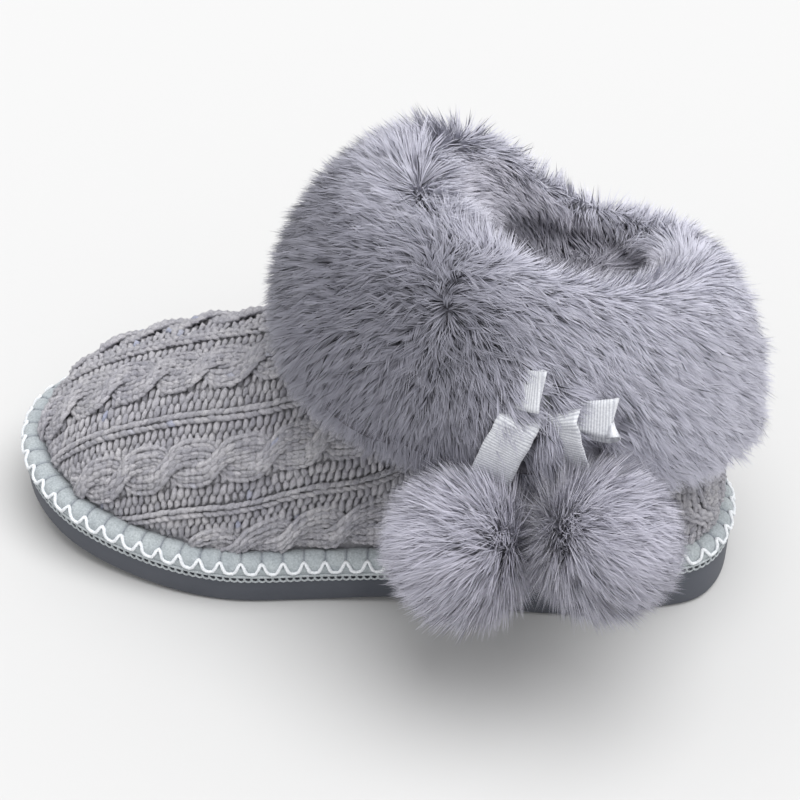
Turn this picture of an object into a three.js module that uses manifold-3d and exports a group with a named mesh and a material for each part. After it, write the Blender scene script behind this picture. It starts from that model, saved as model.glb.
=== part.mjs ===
// Knit slipper, left foot. Millimetres, +Z up, toe towards -X, the outer side of the foot towards -Y.
// The origin is on the floor under the middle of the heel. A rubber outsole carries a hollow knitted
// upper; a padded band binds the two, a fur cuff is folded down over the collar, and a ribbon tied on
// the outer side of the cuff carries two fur balls.
import * as THREE from 'three';
import { mergeVertices } from 'three/addons/utils/BufferGeometryUtils.js';
import Module from 'manifold-3d';

// Driving dimensions
const soleLength = 256.5;
const ballWidth = 94;
const heelRestInset = 42;      // heel rest, from the back of the heel
const forefootRestInset = 155; // forefoot rest, from the back of the heel
const rimHeight = 12.9;        // top of the outsole's rim at the ball of the foot
const heelRise = 5.8;          // how much higher the rim is at the heel
const toeSpring = 10.4;
const archLift = 2.4;
const soleEdgeRadius = 2.5;
const grooveDepth = 1.4;
const grooveWidth = 3.2;
const grooveBend = 5;          // how far the middle of a groove lies towards the heel
const groovePitch = 11;
const grooveStart = 20;        // first groove, from the back of the heel
const grooveEnd = 24;          // no groove nearer than this to the toe
const restGap = 9;             // no groove nearer than this to either rest
const grooveMargin = 11;       // plain border left around the grooves
const bandDepth = 6.2;         // binding band, from the sole's edge in to the knit
const bandHeight = 7;
const bandBulge = 1.2;         // how far the band stands out past the sole's edge
const vampHeight = 81.5;       // crest of the vamp over the floor, where the instep starts to climb
const crestShift = 4;          // crest of the vamp, towards the inner side of the foot
const upperWall = 3;
const collarHeight = 123;      // knit collar over the floor at the leg's axis
const collarTilt = 8;          // degrees, higher in front
const collarShift = 6;         // how far the collar lies towards the inner side
const collarFlare = 0.12;      // how much wider the collar is than the form, as a share
const heelLean = 13;           // how far the back leans forward at the collar
const insoleThickness = 5;
const insoleClearance = 0.8;
const legInset = 59;           // axis of the leg, from the back of the heel
const legShift = 3;            // axis of the leg, towards the inner side
const cuffReach = 106;         // cuff's front, from the leg's axis
const cuffHeight = 171;        // highest roll of the cuff over the floor
const cuffTurnIn = 12;         // how far the cuff runs on down inside the collar before it is cut
const hemThickness = 14;
const lockLength = 7;
const lockWidth = 8;
const ribbonWidth = 14;
const ribbonThickness = 0.9;
const loopSpread = 5;
const knotThickness = 2.4;
const knotWidth = 7;
const knotOverhang = 3;        // degrees that the knot runs on past each half of the bow
const tailLift = 1;            // how far a tail stands off the cuff
const ballRadiusFront = 26;
const ballRadiusBack = 25;
const ballReach = 83;          // middle of each ball, from the leg's axis
const ballLocks = 27;
const clearance = 0.3;

// Finishes
const finish = (color, roughness) => new THREE.MeshStandardMaterial({ color, roughness, metalness: 0 });
const rubber = finish(0x4e525c, 0.75);
const fleece = finish(0x77747f, 1);
const knit = finish(0x8f8d93, 0.95);
const binding = finish(0x8c9496, 0.9);
const fur = finish(0x9a98a5, 1);
const grosgrain = finish(0xc8ccd2, 0.6);

// Small tools for lofts
const wasm = await Module();
wasm.setup();

const mix = (a, b, share) => a + (b - a) * share;
const smooth = (low, high, value) => THREE.MathUtils.smoothstep(value, low, high);
const fromHeel = (distance) => heelRestInset - distance;
const along = (share) => fromHeel(soleLength * share);

// Reads one column of a table as a smooth curve over the first column
function column(rows, key, name) {
  const curve = rows.map((row) => [row[key], row[name]]);
  const slope = (i) => {
    const [a, b] = [curve[Math.max(i - 1, 0)], curve[Math.min(i + 1, curve.length - 1)]];
    return (b[1] - a[1]) / (b[0] - a[0]);
  };
  return (value) => {
    const x = THREE.MathUtils.clamp(value, curve[0][0], curve.at(-1)[0]);
    const i = Math.max(curve.findLastIndex((point, k) => point[0] <= x && k < curve.length - 1), 0);
    const [[x0, y0], [x1, y1]] = [curve[i], curve[i + 1]];
    const [span, u] = [x1 - x0, (x - x0) / (x1 - x0)];
    const [start, end] = [slope(i) * span, slope(i + 1) * span];
    return y0 + u * (start + u * (3 * (y1 - y0) - 2 * start - end + u * (2 * (y0 - y1) + start + end)));
  };
}

// Closed body from rows of points. Each row is a closed loop; the rows close on each other, end in
// rows that shrink to a line, or are capped with a fan.
function loft(rows, ends) {
  const [count, size] = [rows.length, rows[0].length];
  const points = rows.flat();
  const faces = [];
  for (let i = 0; i < (ends === 'ring' ? count : count - 1); i += 1) {
    for (let j = 0; j < size; j += 1) {
      const [a, b] = [i * size + j, i * size + ((j + 1) % size)];
      const [c, d] = [((i + 1) % count) * size + j, ((i + 1) % count) * size + ((j + 1) % size)];
      faces.push([a, c, b], [b, c, d]);
    }
  }
  if (ends === 'capped') {
    for (let j = 1; j < size - 1; j += 1) {
      const last = (count - 1) * size;
      faces.push([0, j, j + 1], [last, last + j + 1, last + j]);
    }
  }
  const geometry = new THREE.BufferGeometry();
  const numbers = points.flatMap((p) => [p.x, p.y, p.z]);
  geometry.setAttribute('position', new THREE.Float32BufferAttribute(numbers, 3));
  geometry.setIndex(faces.flat());
  return geometry;
}

// A closed mesh as a solid for cutting and joining, with its faces turned out
function solid(geometry) {
  const bare = geometry.clone();
  bare.deleteAttribute('normal');
  bare.deleteAttribute('uv');
  const merged = mergeVertices(bare, 1e-4);
  const index = merged.index.array;
  const position = merged.attributes.position;
  const triangles = [];
  let volume = 0;
  const [a, b, c] = [new THREE.Vector3(), new THREE.Vector3(), new THREE.Vector3()];
  for (let i = 0; i < index.length; i += 3) {
    const [p, q, r] = [index[i], index[i + 1], index[i + 2]];
    if (p !== q && q !== r && r !== p) {
      triangles.push(p, q, r);
      a.fromBufferAttribute(position, p);
      b.fromBufferAttribute(position, q);
      c.fromBufferAttribute(position, r);
      volume += a.dot(b.clone().cross(c));
    }
  }
  if (volume < 0) triangles.reverse();
  return new wasm.Manifold(new wasm.Mesh({
    numProp: 3,
    vertProperties: new Float32Array(position.array),
    triVerts: new Uint32Array(triangles),
  }));
}

function toMesh(name, body, material) {
  const { vertProperties, triVerts } = body.getMesh();
  const geometry = new THREE.BufferGeometry();
  geometry.setAttribute('position', new THREE.Float32BufferAttribute(vertProperties, 3));
  geometry.setIndex(Array.from(triVerts));
  geometry.computeVertexNormals();
  const mesh = new THREE.Mesh(geometry, material);
  mesh.name = name;
  return mesh;
}

const join = (bodies) => bodies.reduce((whole, body) => whole.add(body));
const largest = (body) => body.decompose().sort((a, b) => b.volume() - a.volume())[0];

// Sole outline: share of the length from the heel, and how far the outer and the inner side lie from
// the heel's axis, in shares of the ball width
const outlineTable = [
  { length: 0.012, outer: 0.106, inner: 0.112 },
  { length: 0.038, outer: 0.243, inner: 0.228 },
  { length: 0.10, outer: 0.324, inner: 0.306 },
  { length: 0.22, outer: 0.405, inner: 0.328 },
  { length: 0.40, outer: 0.422, inner: 0.328 },
  { length: 0.55, outer: 0.459, inner: 0.413 },
  { length: 0.68, outer: 0.511, inner: 0.500 },
  { length: 0.79, outer: 0.474, inner: 0.515 },
  { length: 0.91, outer: 0.350, inner: 0.460 },
  { length: 0.97, outer: 0.195, inner: 0.325 },
  { length: 0.997, outer: 0.030, inner: 0.165 },
];
const outlinePoint = (share, side) => new THREE.Vector3(along(share), side * ballWidth, 0);
const outlineCurve = new THREE.CatmullRomCurve3([
  ...outlineTable.map((row) => outlinePoint(row.length, -row.outer)),
  ...outlineTable.toReversed().map((row) => outlinePoint(row.length, row.inner)),
], true, 'centripetal');
const outline = outlineCurve.getSpacedPoints(480).slice(0, -1);

// The outline moved inwards, read as two sides over the length, and the line midway between them
const endRound = 4;
function footprint(inset) {
  const moved = outline.map((point, i) => {
    const before = outline[(i + outline.length - 1) % outline.length];
    const after = outline[(i + 1) % outline.length];
    const normal = new THREE.Vector3(before.y - after.y, after.x - before.x, 0).normalize();
    return point.clone().addScaledVector(normal, -inset);
  });
  const heel = Math.max(...moved.map((p) => p.x));
  const toe = Math.min(...moved.map((p) => p.x));
  const tip = moved.findIndex((p) => p.x === toe);
  const back = moved.findIndex((p) => p.x === heel);
  const turned = [...moved.slice(back), ...moved.slice(0, back)];
  const turn = (tip - back + moved.length) % moved.length;
  const side = (points) => (x) => {
    const k = points.findIndex((p) => p.x <= x);
    if (k <= 0) return points[Math.max(k, 0)].y;
    return mix(points[k - 1].y, points[k].y, (points[k - 1].x - x) / (points[k - 1].x - points[k].x));
  };
  const outer = side(turned.slice(0, turn + 1));
  const inner = side([...turned.slice(turn), turned[0]].toReversed());
  const nearEnd = (x) => THREE.MathUtils.clamp(x, toe + endRound, heel - endRound);
  const middle = (x) => (outer(nearEnd(x)) + inner(nearEnd(x))) / 2;
  return { heel, toe, outer, inner, middle };
}

// Heights along the shoe, over its length in shares from the heel: the floor side of the sole, flat at
// the heel and under the ball of the foot, and the top of its rim
const springStart = 0.68;
const arch = { from: 0.30, top: 0.44, to: 0.58 };
const heelSlope = { from: 0.22, to: 0.62 };
const shareAt = (x) => (heelRestInset - x) / soleLength;
const springAt = (t) => toeSpring * (Math.max(t - springStart, 0) / (1 - springStart)) ** 2;
function floorCurve(x) {
  const t = shareAt(x);
  const lift = smooth(arch.from, arch.top, t) - smooth(arch.top, arch.to, t);
  return springAt(t) + archLift * Math.max(lift, 0);
}
function rimCurve(x) {
  const t = shareAt(x);
  return rimHeight + springAt(t) + heelRise * (1 - smooth(heelSlope.from, heelSlope.to, t));
}

// Stations round the outline, close together at the heel and at the toe
const stationCount = 30;
function ringStations(inset) {
  const foot = footprint(inset);
  const half = Array.from({ length: stationCount + 1 }, (_, k) => {
    const share = (1 - Math.cos((Math.PI * k) / stationCount)) / 2;
    return mix(foot.heel, foot.toe, share);
  });
  const atEnd = (k) => k === 0 || k === stationCount;
  const outer = half.map((x, k) => new THREE.Vector3(x, atEnd(k) ? foot.middle(x) : foot.outer(x), 0));
  const inner = half.slice(1, -1).toReversed().map((x) => new THREE.Vector3(x, foot.inner(x), 0));
  return [...outer, ...inner];
}

// A level plate over the footprint: rings of points, the first and last bridged across
function plate(levels) {
  const rings = levels.map(({ inset, height }) => ringStations(inset).map((p) => p.clone().setZ(height(p.x))));
  const geometry = loft(rings, 'open');
  const size = rings[0].length;
  const faces = Array.from(geometry.index.array);
  for (const [start, flip] of [[0, false], [(rings.length - 1) * size, true]]) {
    for (let k = 0; k < stationCount; k += 1) {
      const [a, b] = [start + k, start + k + 1];
      const [c, d] = [start + ((size - k) % size), start + ((size - k - 1) % size)];
      faces.push(...(flip ? [a, c, b, b, c, d] : [a, b, c, b, d, c]));
    }
  }
  geometry.setIndex(faces);
  return solid(geometry);
}

// Outsole: one moulded cup sole, its edge rounded underneath, with shallow grooves between the lugs
function grooveBody(x) {
  const foot = footprint(grooveMargin);
  const [outer, inner] = [foot.outer(x), foot.inner(x)];
  const width = grooveWidth / 2;
  const middle = (outer + inner) / 2;
  const shape = new THREE.Shape([
    new THREE.Vector2(x - width, outer),
    new THREE.Vector2(x + width, outer),
    new THREE.Vector2(x + width + grooveBend, middle),
    new THREE.Vector2(x + width, inner),
    new THREE.Vector2(x - width, inner),
    new THREE.Vector2(x - width + grooveBend, middle),
  ]);
  const geometry = new THREE.ExtrudeGeometry(shape, { depth: 2 * grooveDepth, bevelEnabled: false });
  geometry.translate(0, 0, floorCurve(x) - grooveDepth);
  return solid(geometry);
}
function outsole() {
  const body = plate([
    { inset: soleEdgeRadius, height: floorCurve },
    { inset: soleEdgeRadius * 0.3, height: (x) => floorCurve(x) + soleEdgeRadius * 0.3 },
    { inset: 0, height: (x) => floorCurve(x) + soleEdgeRadius },
    { inset: -0.4, height: (x) => mix(floorCurve(x), rimCurve(x), 0.55) },
    { inset: 0, height: (x) => rimCurve(x) - 1 },
    { inset: 1, height: rimCurve },
  ]);
  const places = [];
  for (let d = grooveStart; d < soleLength - grooveEnd; d += groovePitch) {
    const inArch = d > arch.from * soleLength && d < arch.to * soleLength;
    const atRest = Math.min(Math.abs(d - heelRestInset), Math.abs(d - forefootRestInset)) < restGap;
    if (!inArch && !atRest) places.push(fromHeel(d));
  }
  return body.subtract(join(places.map(grooveBody)));
}

// Foot form: heights of the closed form in shares of the vamp's height, and how square its section is.
// Behind the instep the form runs on upwards past the collar, where it is cut.
const formTable = [
  { length: 0.00, crest: 2.70, square: 3.2 },
  { length: 0.30, crest: 2.65, square: 3.2 },
  { length: 0.35, crest: 2.35, square: 3.1 },
  { length: 0.38, crest: 1.90, square: 3.0 },
  { length: 0.41, crest: 1.61, square: 2.9 },
  { length: 0.45, crest: 1.45, square: 2.8 },
  { length: 0.50, crest: 1.31, square: 2.7 },
  { length: 0.55, crest: 1.19, square: 2.6 },
  { length: 0.60, crest: 1.08, square: 2.5 },
  { length: 0.66, crest: 0.98, square: 2.4 },
  { length: 0.75, crest: 0.875, square: 2.4 },
  { length: 0.85, crest: 0.725, square: 2.4 },
  { length: 0.905, crest: 0.615, square: 2.4 },
  { length: 0.95, crest: 0.495, square: 2.4 },
  { length: 0.98, crest: 0.36, square: 2.4 },
];
const crestShare = column(formTable, 'length', 'crest');
const squareness = column(formTable, 'length', 'square');

// The closed form, moved inwards by an inset. Its sections run across the shoe, from the outer side
// over the crest to the inner side.
const profileSteps = 96;
function footForm({ inset, points = 29, drop = 0 }) {
  const sections = stationCount;
  const foot = footprint(bandDepth + inset);
  const rows = [];
  for (let k = 0; k <= sections; k += 1) {
    const share = (1 - Math.cos((Math.PI * k) / sections)) / 2;
    const x = mix(foot.heel, foot.toe, share);
    const atEnd = k === 0 || k === sections;
    const [outer, inner] = [foot.outer(x), foot.inner(x)];
    const halfWidth = atEnd ? 0 : (inner - outer) / 2;
    const middle = atEnd ? foot.middle(x) : (inner + outer) / 2;
    const base = rimCurve(x) + clearance;
    const top = crestShare(shareAt(x)) * vampHeight - inset;
    const power = 2 / squareness(shareAt(x));
    const profile = Array.from({ length: profileSteps + 1 }, (_, i) => {
      const angle = (Math.PI * i) / profileSteps;
      const [c, s] = [Math.cos(angle), Math.sin(angle)];
      const across = -halfWidth * Math.sign(c) * Math.abs(c) ** power;
      return new THREE.Vector2(across, (top - base) * Math.abs(s) ** power);
    });
    const run = [0];
    for (let i = 1; i < profile.length; i += 1) run.push(run[i - 1] + profile[i].distanceTo(profile[i - 1]));
    const length = run.at(-1);
    const row = [];
    for (let j = 0; j < points; j += 1) {
      const goal = (length * j) / (points - 1);
      const i = Math.min(Math.max(run.findIndex((value) => value >= goal - 1e-9), 1), run.length - 1);
      const part = (goal - run[i - 1]) / Math.max(run[i] - run[i - 1], 1e-9);
      const place = profile[i - 1].clone().lerp(profile[i], part);
      const rise = Math.max(place.y - bandHeight, 0);
      const climb = Math.min(rise / (collarHeight - base - bandHeight), 1.3);
      const inVamp = smooth(0.4, 0.6, shareAt(x));
      const lean = heelLean * climb ** 2 * (1 - smooth(0, 0.34, shareAt(x)));
      const shift = mix(collarShift * climb, crestShift * (rise / (top - base)), inVamp);
      const flare = 1 + collarFlare * climb * (1 - inVamp);
      const z = base + place.y - (j === 0 || j === points - 1 ? drop : 0);
      row.push(new THREE.Vector3(x - lean, middle + place.x * flare + shift, z));
    }
    rows.push(row);
  }
  return solid(loft(rows, 'open'));
}

// Everything above the collar's tilted plane, raised by a distance
function aboveCollar(raise) {
  const size = 2 * soleLength;
  const box = new THREE.BoxGeometry(size, size, size);
  box.translate(0, 0, size / 2 + raise);
  box.rotateY(THREE.MathUtils.degToRad(collarTilt));
  box.translate(fromHeel(legInset), 0, collarHeight);
  return solid(box);
}

// Upper: one knitted shell, open at the collar and underneath
function upper() {
  const outer = footForm({ inset: 0 });
  const inner = footForm({ inset: upperWall, points: 17, drop: 2 * upperWall });
  return outer.subtract(inner).subtract(aboveCollar(0));
}

// Insole: a flat pad inside the upper
function insole() {
  const inset = bandDepth + upperWall + insoleClearance;
  const low = (x) => rimCurve(x) + clearance;
  return plate([
    { inset: inset + 0.2 * insoleThickness, height: low },
    { inset, height: (x) => low(x) + 0.2 * insoleThickness },
    { inset, height: (x) => low(x) + 0.7 * insoleThickness },
    { inset: inset + 0.3 * insoleThickness, height: (x) => low(x) + insoleThickness },
  ]);
}

// Binding: a padded band on the sole's rim, round the foot of the knit
function bindingBand() {
  const profile = [
    { inset: bandDepth - 2 * clearance, rise: 0 },
    { inset: 0.2 * bandDepth, rise: 0 },
    { inset: -0.7 * bandBulge, rise: 0.2 * bandHeight },
    { inset: -bandBulge, rise: 0.5 * bandHeight },
    { inset: 0.15 * bandDepth, rise: 0.86 * bandHeight },
    { inset: 0.6 * bandDepth, rise: bandHeight },
    { inset: bandDepth - 2 * clearance, rise: 0.93 * bandHeight },
  ];
  const rings = profile.map(({ inset, rise }) => ringStations(inset)
    .map((p) => p.clone().setZ(rimCurve(p.x) + clearance + rise)));
  return solid(loft(rings, 'ring'));
}

// Fur cuff, by direction from the leg's axis: 0 is the toe, 90 the outer side, 180 the heel. Radii are
// shares of the cuff's reach, heights shares of its height.
const cuffTable = [
  { turn: 0, mouth: 0.25, mouthZ: 0.84, ridge: 0.52, ridgeZ: 1, back: 0.8, backZ: 0.905,
    belly: 0.985, bellyZ: 0.67, hem: 0.965, hemZ: 0.55 },
  { turn: 24, mouth: 0.27, mouthZ: 0.83, ridge: 0.48, ridgeZ: 0.975, back: 0.75, backZ: 0.875,
    belly: 0.945, bellyZ: 0.66, hem: 0.93, hemZ: 0.53 },
  { turn: 46, mouth: 0.27, mouthZ: 0.82, ridge: 0.4, ridgeZ: 0.93, back: 0.59, backZ: 0.84,
    belly: 0.775, bellyZ: 0.64, hem: 0.77, hemZ: 0.49 },
  { turn: 68, mouth: 0.26, mouthZ: 0.81, ridge: 0.33, ridgeZ: 0.88, back: 0.47, backZ: 0.8,
    belly: 0.625, bellyZ: 0.62, hem: 0.62, hemZ: 0.46 },
  { turn: 92, mouth: 0.25, mouthZ: 0.8, ridge: 0.31, ridgeZ: 0.86, back: 0.43, backZ: 0.78,
    belly: 0.57, bellyZ: 0.6, hem: 0.57, hemZ: 0.45 },
  { turn: 125, mouth: 0.24, mouthZ: 0.79, ridge: 0.33, ridgeZ: 0.835, back: 0.45, backZ: 0.765,
    belly: 0.57, bellyZ: 0.57, hem: 0.57, hemZ: 0.43 },
  { turn: 155, mouth: 0.24, mouthZ: 0.78, ridge: 0.36, ridgeZ: 0.81, back: 0.48, backZ: 0.745,
    belly: 0.58, bellyZ: 0.53, hem: 0.57, hemZ: 0.38 },
  { turn: 180, mouth: 0.24, mouthZ: 0.77, ridge: 0.37, ridgeZ: 0.795, back: 0.5, backZ: 0.735,
    belly: 0.61, bellyZ: 0.5, hem: 0.6, hemZ: 0.35 },
  { turn: 205, mouth: 0.24, mouthZ: 0.74, ridge: 0.35, ridgeZ: 0.77, back: 0.47, backZ: 0.715,
    belly: 0.56, bellyZ: 0.53, hem: 0.55, hemZ: 0.38 },
  { turn: 235, mouth: 0.25, mouthZ: 0.71, ridge: 0.33, ridgeZ: 0.75, back: 0.44, backZ: 0.7,
    belly: 0.54, bellyZ: 0.56, hem: 0.54, hemZ: 0.42 },
  { turn: 268, mouth: 0.27, mouthZ: 0.71, ridge: 0.32, ridgeZ: 0.755, back: 0.41, backZ: 0.7,
    belly: 0.53, bellyZ: 0.57, hem: 0.53, hemZ: 0.44 },
  { turn: 292, mouth: 0.27, mouthZ: 0.75, ridge: 0.34, ridgeZ: 0.81, back: 0.45, backZ: 0.745,
    belly: 0.58, bellyZ: 0.6, hem: 0.58, hemZ: 0.46 },
  { turn: 314, mouth: 0.27, mouthZ: 0.79, ridge: 0.4, ridgeZ: 0.9, back: 0.56, backZ: 0.81,
    belly: 0.72, bellyZ: 0.63, hem: 0.72, hemZ: 0.49 },
  { turn: 336, mouth: 0.27, mouthZ: 0.83, ridge: 0.48, ridgeZ: 0.965, back: 0.74, backZ: 0.865,
    belly: 0.92, bellyZ: 0.66, hem: 0.91, hemZ: 0.53 },
  { turn: 360, mouth: 0.25, mouthZ: 0.84, ridge: 0.52, ridgeZ: 1, back: 0.8, backZ: 0.905,
    belly: 0.985, bellyZ: 0.67, hem: 0.965, hemZ: 0.55 },
];
const cuffCurves = Object.fromEntries(
  Object.keys(cuffTable[0]).map((name) => [name, column(cuffTable, 'turn', name)]),
);
const legAxis = new THREE.Vector3(fromHeel(legInset), legShift, 0);

// The cuff's section at one direction, a closed loop of radius and height: up from the collar to the
// mouth, over the ridge and down the back to the belly and the hem, and in underneath
function cuffSection(turn) {
  const at = (name) => new THREE.Vector3(
    cuffCurves[name](turn) * cuffReach,
    cuffCurves[`${name}Z`](turn) * cuffHeight,
    0,
  );
  const [mouth, ridge, back, belly, hem] = ['mouth', 'ridge', 'back', 'belly', 'hem'].map(at);
  const root = new THREE.Vector3(mouth.x - cuffTurnIn, collarHeight - 1.6 * cuffTurnIn, 0);
  const neck = new THREE.Vector3(mouth.x, collarHeight - 0.4 * cuffTurnIn, 0);
  const under = new THREE.Vector3(hem.x - hemThickness, hem.y + 0.6 * hemThickness, 0);
  return new THREE.CatmullRomCurve3([root, neck, mouth, ridge, back, belly, hem, under], true, 'centripetal');
}

// A point of the cuff's surface, or at a distance over it, with the way out and the way down there
function onCuff(turn, share, proud = 0) {
  const curve = cuffSection(turn);
  const [place, tangent] = [curve.getPointAt(share), curve.getTangentAt(share)];
  const angle = THREE.MathUtils.degToRad(turn);
  const away = new THREE.Vector3(-Math.cos(angle), -Math.sin(angle), 0);
  const down = away.clone().multiplyScalar(tangent.x).setZ(tangent.y);
  const out = away.clone().multiplyScalar(-tangent.y).setZ(tangent.x);
  const point = away.clone().multiplyScalar(place.x).setZ(place.y).add(legAxis).addScaledVector(out, proud);
  return { point, out, down };
}
const cuffSides = 36;
const cuffPoints = 15;
function cuffBody(proud = 0) {
  const rings = Array.from({ length: cuffSides }, (_, i) => Array.from(
    { length: cuffPoints },
    (__, j) => onCuff((360 * i) / cuffSides, j / cuffPoints, proud).point,
  ));
  return solid(loft(rings, 'ring'));
}

// Shares of the section on its outer face: where it passes a height, and at a part of the way from
// the ridge to the hem
function outerFace(turn) {
  const steps = 200;
  const curve = cuffSection(turn);
  const heights = Array.from({ length: steps }, (_, i) => curve.getPointAt(i / steps).y);
  const ridge = heights.indexOf(Math.max(...heights));
  const hem = heights.indexOf(Math.min(...heights));
  return {
    atHeight: (height) => heights.findIndex((z, i) => i > ridge && z < height) / steps,
    partWay: (part) => mix(ridge, hem, part) / steps,
  };
}
const shareAtHeight = (turn, height) => outerFace(turn).atHeight(height);

// A lock of fur: a bent three-sided spike, rooted under the surface
function lock({ point, out, down }, length, width) {
  const side = out.clone().cross(down).normalize();
  const rows = [[-0.3, -0.1, 1], [0.35, 0.45, 0.75]].map(([rise, drift, thick]) => {
    const centre = point.clone().addScaledVector(out, rise * length).addScaledVector(down, drift * length);
    return [0, 1, 2].map((k) => {
      const angle = (2 * Math.PI * k) / 3 + Math.PI / 6;
      return centre.clone().addScaledVector(side, Math.cos(angle) * width * thick)
        .addScaledVector(out, (Math.sin(angle) * width * thick) / 2)
        .addScaledVector(down, (-Math.sin(angle) * width * thick) / 2);
    });
  });
  const tip = point.clone().addScaledVector(out, 0.75 * length).addScaledVector(down, 1.5 * length);
  rows.push([tip, tip, tip]);
  const geometry = loft(rows, 'open');
  geometry.setIndex([...geometry.index.array, 0, 1, 2]);
  return solid(geometry);
}

// A repeatable spread of values between 0 and 1
const scatter = (i) => THREE.MathUtils.euclideanModulo(Math.sin(i * 12.9898 + 4.1) * 43758.5453, 1);

// Rows of locks over the cuff, by their part of the way from the ridge to the hem, left out behind the
// bow and the balls
const lockRows = [
  { part: -0.16, count: 10 },
  { part: 0.08, count: 14 },
  { part: 0.34, count: 17 },
  { part: 0.60, count: 19 },
  { part: 0.86, count: 21 },
];
const bowSpan = { from: 44, to: 130, below: 0 };
function furCuff() {
  const locks = lockRows.flatMap(({ part, count }, row) => Array.from({ length: count }, (_, i) => {
    const turn = (360 * (i + 0.5 * (row % 2) + 0.3 * scatter(i + 31 * row))) / count;
    const underBow = turn > bowSpan.from && turn < bowSpan.to && part > bowSpan.below;
    const root = onCuff(turn, outerFace(turn).partWay(part));
    return underBow ? null : lock(root, lockLength * (0.8 + 0.4 * scatter(i * 3 + row)), lockWidth);
  })).filter(Boolean);
  const filled = footForm({ inset: -clearance }).subtract(aboveCollar(clearance));
  return largest(join([cuffBody(), ...locks]).subtract(filled));
}

// Ribbon: a flat band along a path, its width along a given direction at each point
function band(stations, width, thickness) {
  const rows = stations.map(({ point, across }, i) => {
    const before = stations[Math.max(i - 1, 0)].point;
    const after = stations[Math.min(i + 1, stations.length - 1)].point;
    const flat = after.clone().sub(before).cross(across).normalize();
    return [[-1, -1], [1, -1], [1, 1], [-1, 1]].map(([a, b]) => point.clone()
      .addScaledVector(across, (a * width) / 2).addScaledVector(flat, (b * thickness) / 2));
  });
  return solid(loft(rows, 'capped'));
}

// Bow: each half is tacked to the cuff at its own turn and height, with a loop and a tail to its ball.
// Heights are shares of the cuff's height, the reach of a loop is in widths of the ribbon.
const bowHalves = [
  { name: 'front', turn: 77, height: 0.696, loop: 0.79, tailTurn: 74, tailEnd: 0.468,
    ballTurn: 70, ballHeight: 0.386, radius: ballRadiusFront },
  { name: 'back', turn: 90, height: 0.643, loop: 1.14, tailTurn: 97, tailEnd: 0.526,
    ballTurn: 102.5, ballHeight: 0.453, radius: ballRadiusBack },
].map((half) => ({
  ...half,
  height: half.height * cuffHeight,
  loop: half.loop * ribbonWidth,
  tailEnd: half.tailEnd * cuffHeight,
  ballHeight: half.ballHeight * cuffHeight,
}));
const ballCentre = (half) => {
  const angle = THREE.MathUtils.degToRad(half.ballTurn);
  return new THREE.Vector3(
    legAxis.x - ballReach * Math.cos(angle),
    legAxis.y - ballReach * Math.sin(angle),
    half.ballHeight,
  );
};

// The knot is a small pad that follows the cuff from under one half to under the other
function knot() {
  const [front, back] = bowHalves;
  const rows = Array.from({ length: 7 }, (_, i) => {
    const turn = mix(front.turn - knotOverhang, back.turn + knotOverhang, i / 6);
    const height = mix(front.height, back.height, i / 6);
    const { point, out, down } = onCuff(turn, shareAtHeight(turn, height), 2 * clearance);
    return Array.from({ length: 8 }, (__, j) => {
      const angle = (2 * Math.PI * j) / 8;
      return point.clone().addScaledVector(out, (knotThickness / 2) * (1 + Math.cos(angle)))
        .addScaledVector(down, (knotWidth / 2) * Math.sin(angle));
    });
  });
  return largest(solid(loft(rows, 'capped')).subtract(cuffBody(clearance)));
}

// A loop leaves the knot towards the heel, turns back on itself and ends beside its start
function ribbonLoop(half) {
  const lift = knotThickness + 2 * clearance + ribbonThickness / 2 + 0.55 * loopSpread;
  const base = onCuff(half.turn, shareAtHeight(half.turn, half.height), lift);
  const ahead = base.out.clone().cross(base.down).normalize();
  if (ahead.x < 0) ahead.negate();
  const stations = Array.from({ length: 15 }, (_, i) => {
    const u = mix(0.06, 0.94, i / 14);
    const point = base.point.clone().addScaledVector(ahead, half.loop * Math.sin(Math.PI * u))
      .addScaledVector(base.out, loopSpread * 0.5 * (Math.cos(Math.PI * u) + 0.6 * Math.sin(2 * Math.PI * u)));
    return { point, across: base.down };
  });
  return band(stations, ribbonWidth, ribbonThickness);
}

// A tail hangs from below the knot, down over the cuff and into the back of its ball
function tailStations(half) {
  const start = half.height - knotWidth;
  const route = [0, 1, 2, 3].map((step) => {
    const turn = mix(half.turn, half.tailTurn, step / 3);
    const lift = ribbonThickness / 2 + tailLift * (1 + 0.5 * step);
    return onCuff(turn, shareAtHeight(turn, mix(start, half.tailEnd, step / 3)), lift).point;
  });
  const curve = new THREE.CatmullRomCurve3(route, false, 'centripetal');
  const { out } = onCuff(half.tailTurn, shareAtHeight(half.tailTurn, (start + half.tailEnd) / 2));
  return Array.from({ length: 8 }, (_, i) => {
    const point = curve.getPointAt(i / 7);
    return { point, across: curve.getTangentAt(i / 7).cross(out).normalize() };
  });
}
const ribbonTail = (half) => largest(
  band(tailStations(half), ribbonWidth, ribbonThickness).subtract(cuffBody(clearance)),
);

// The slot that a tail leaves in its ball
function tailSlot(half) {
  const stations = tailStations(half);
  const [before, last] = stations.slice(-2);
  const step = last.point.clone().sub(before.point).setLength(2 * clearance);
  stations[stations.length - 1] = { point: last.point.clone().add(step), across: last.across };
  return band(stations, ribbonWidth + 4 * clearance, ribbonThickness + 4 * clearance);
}

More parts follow.
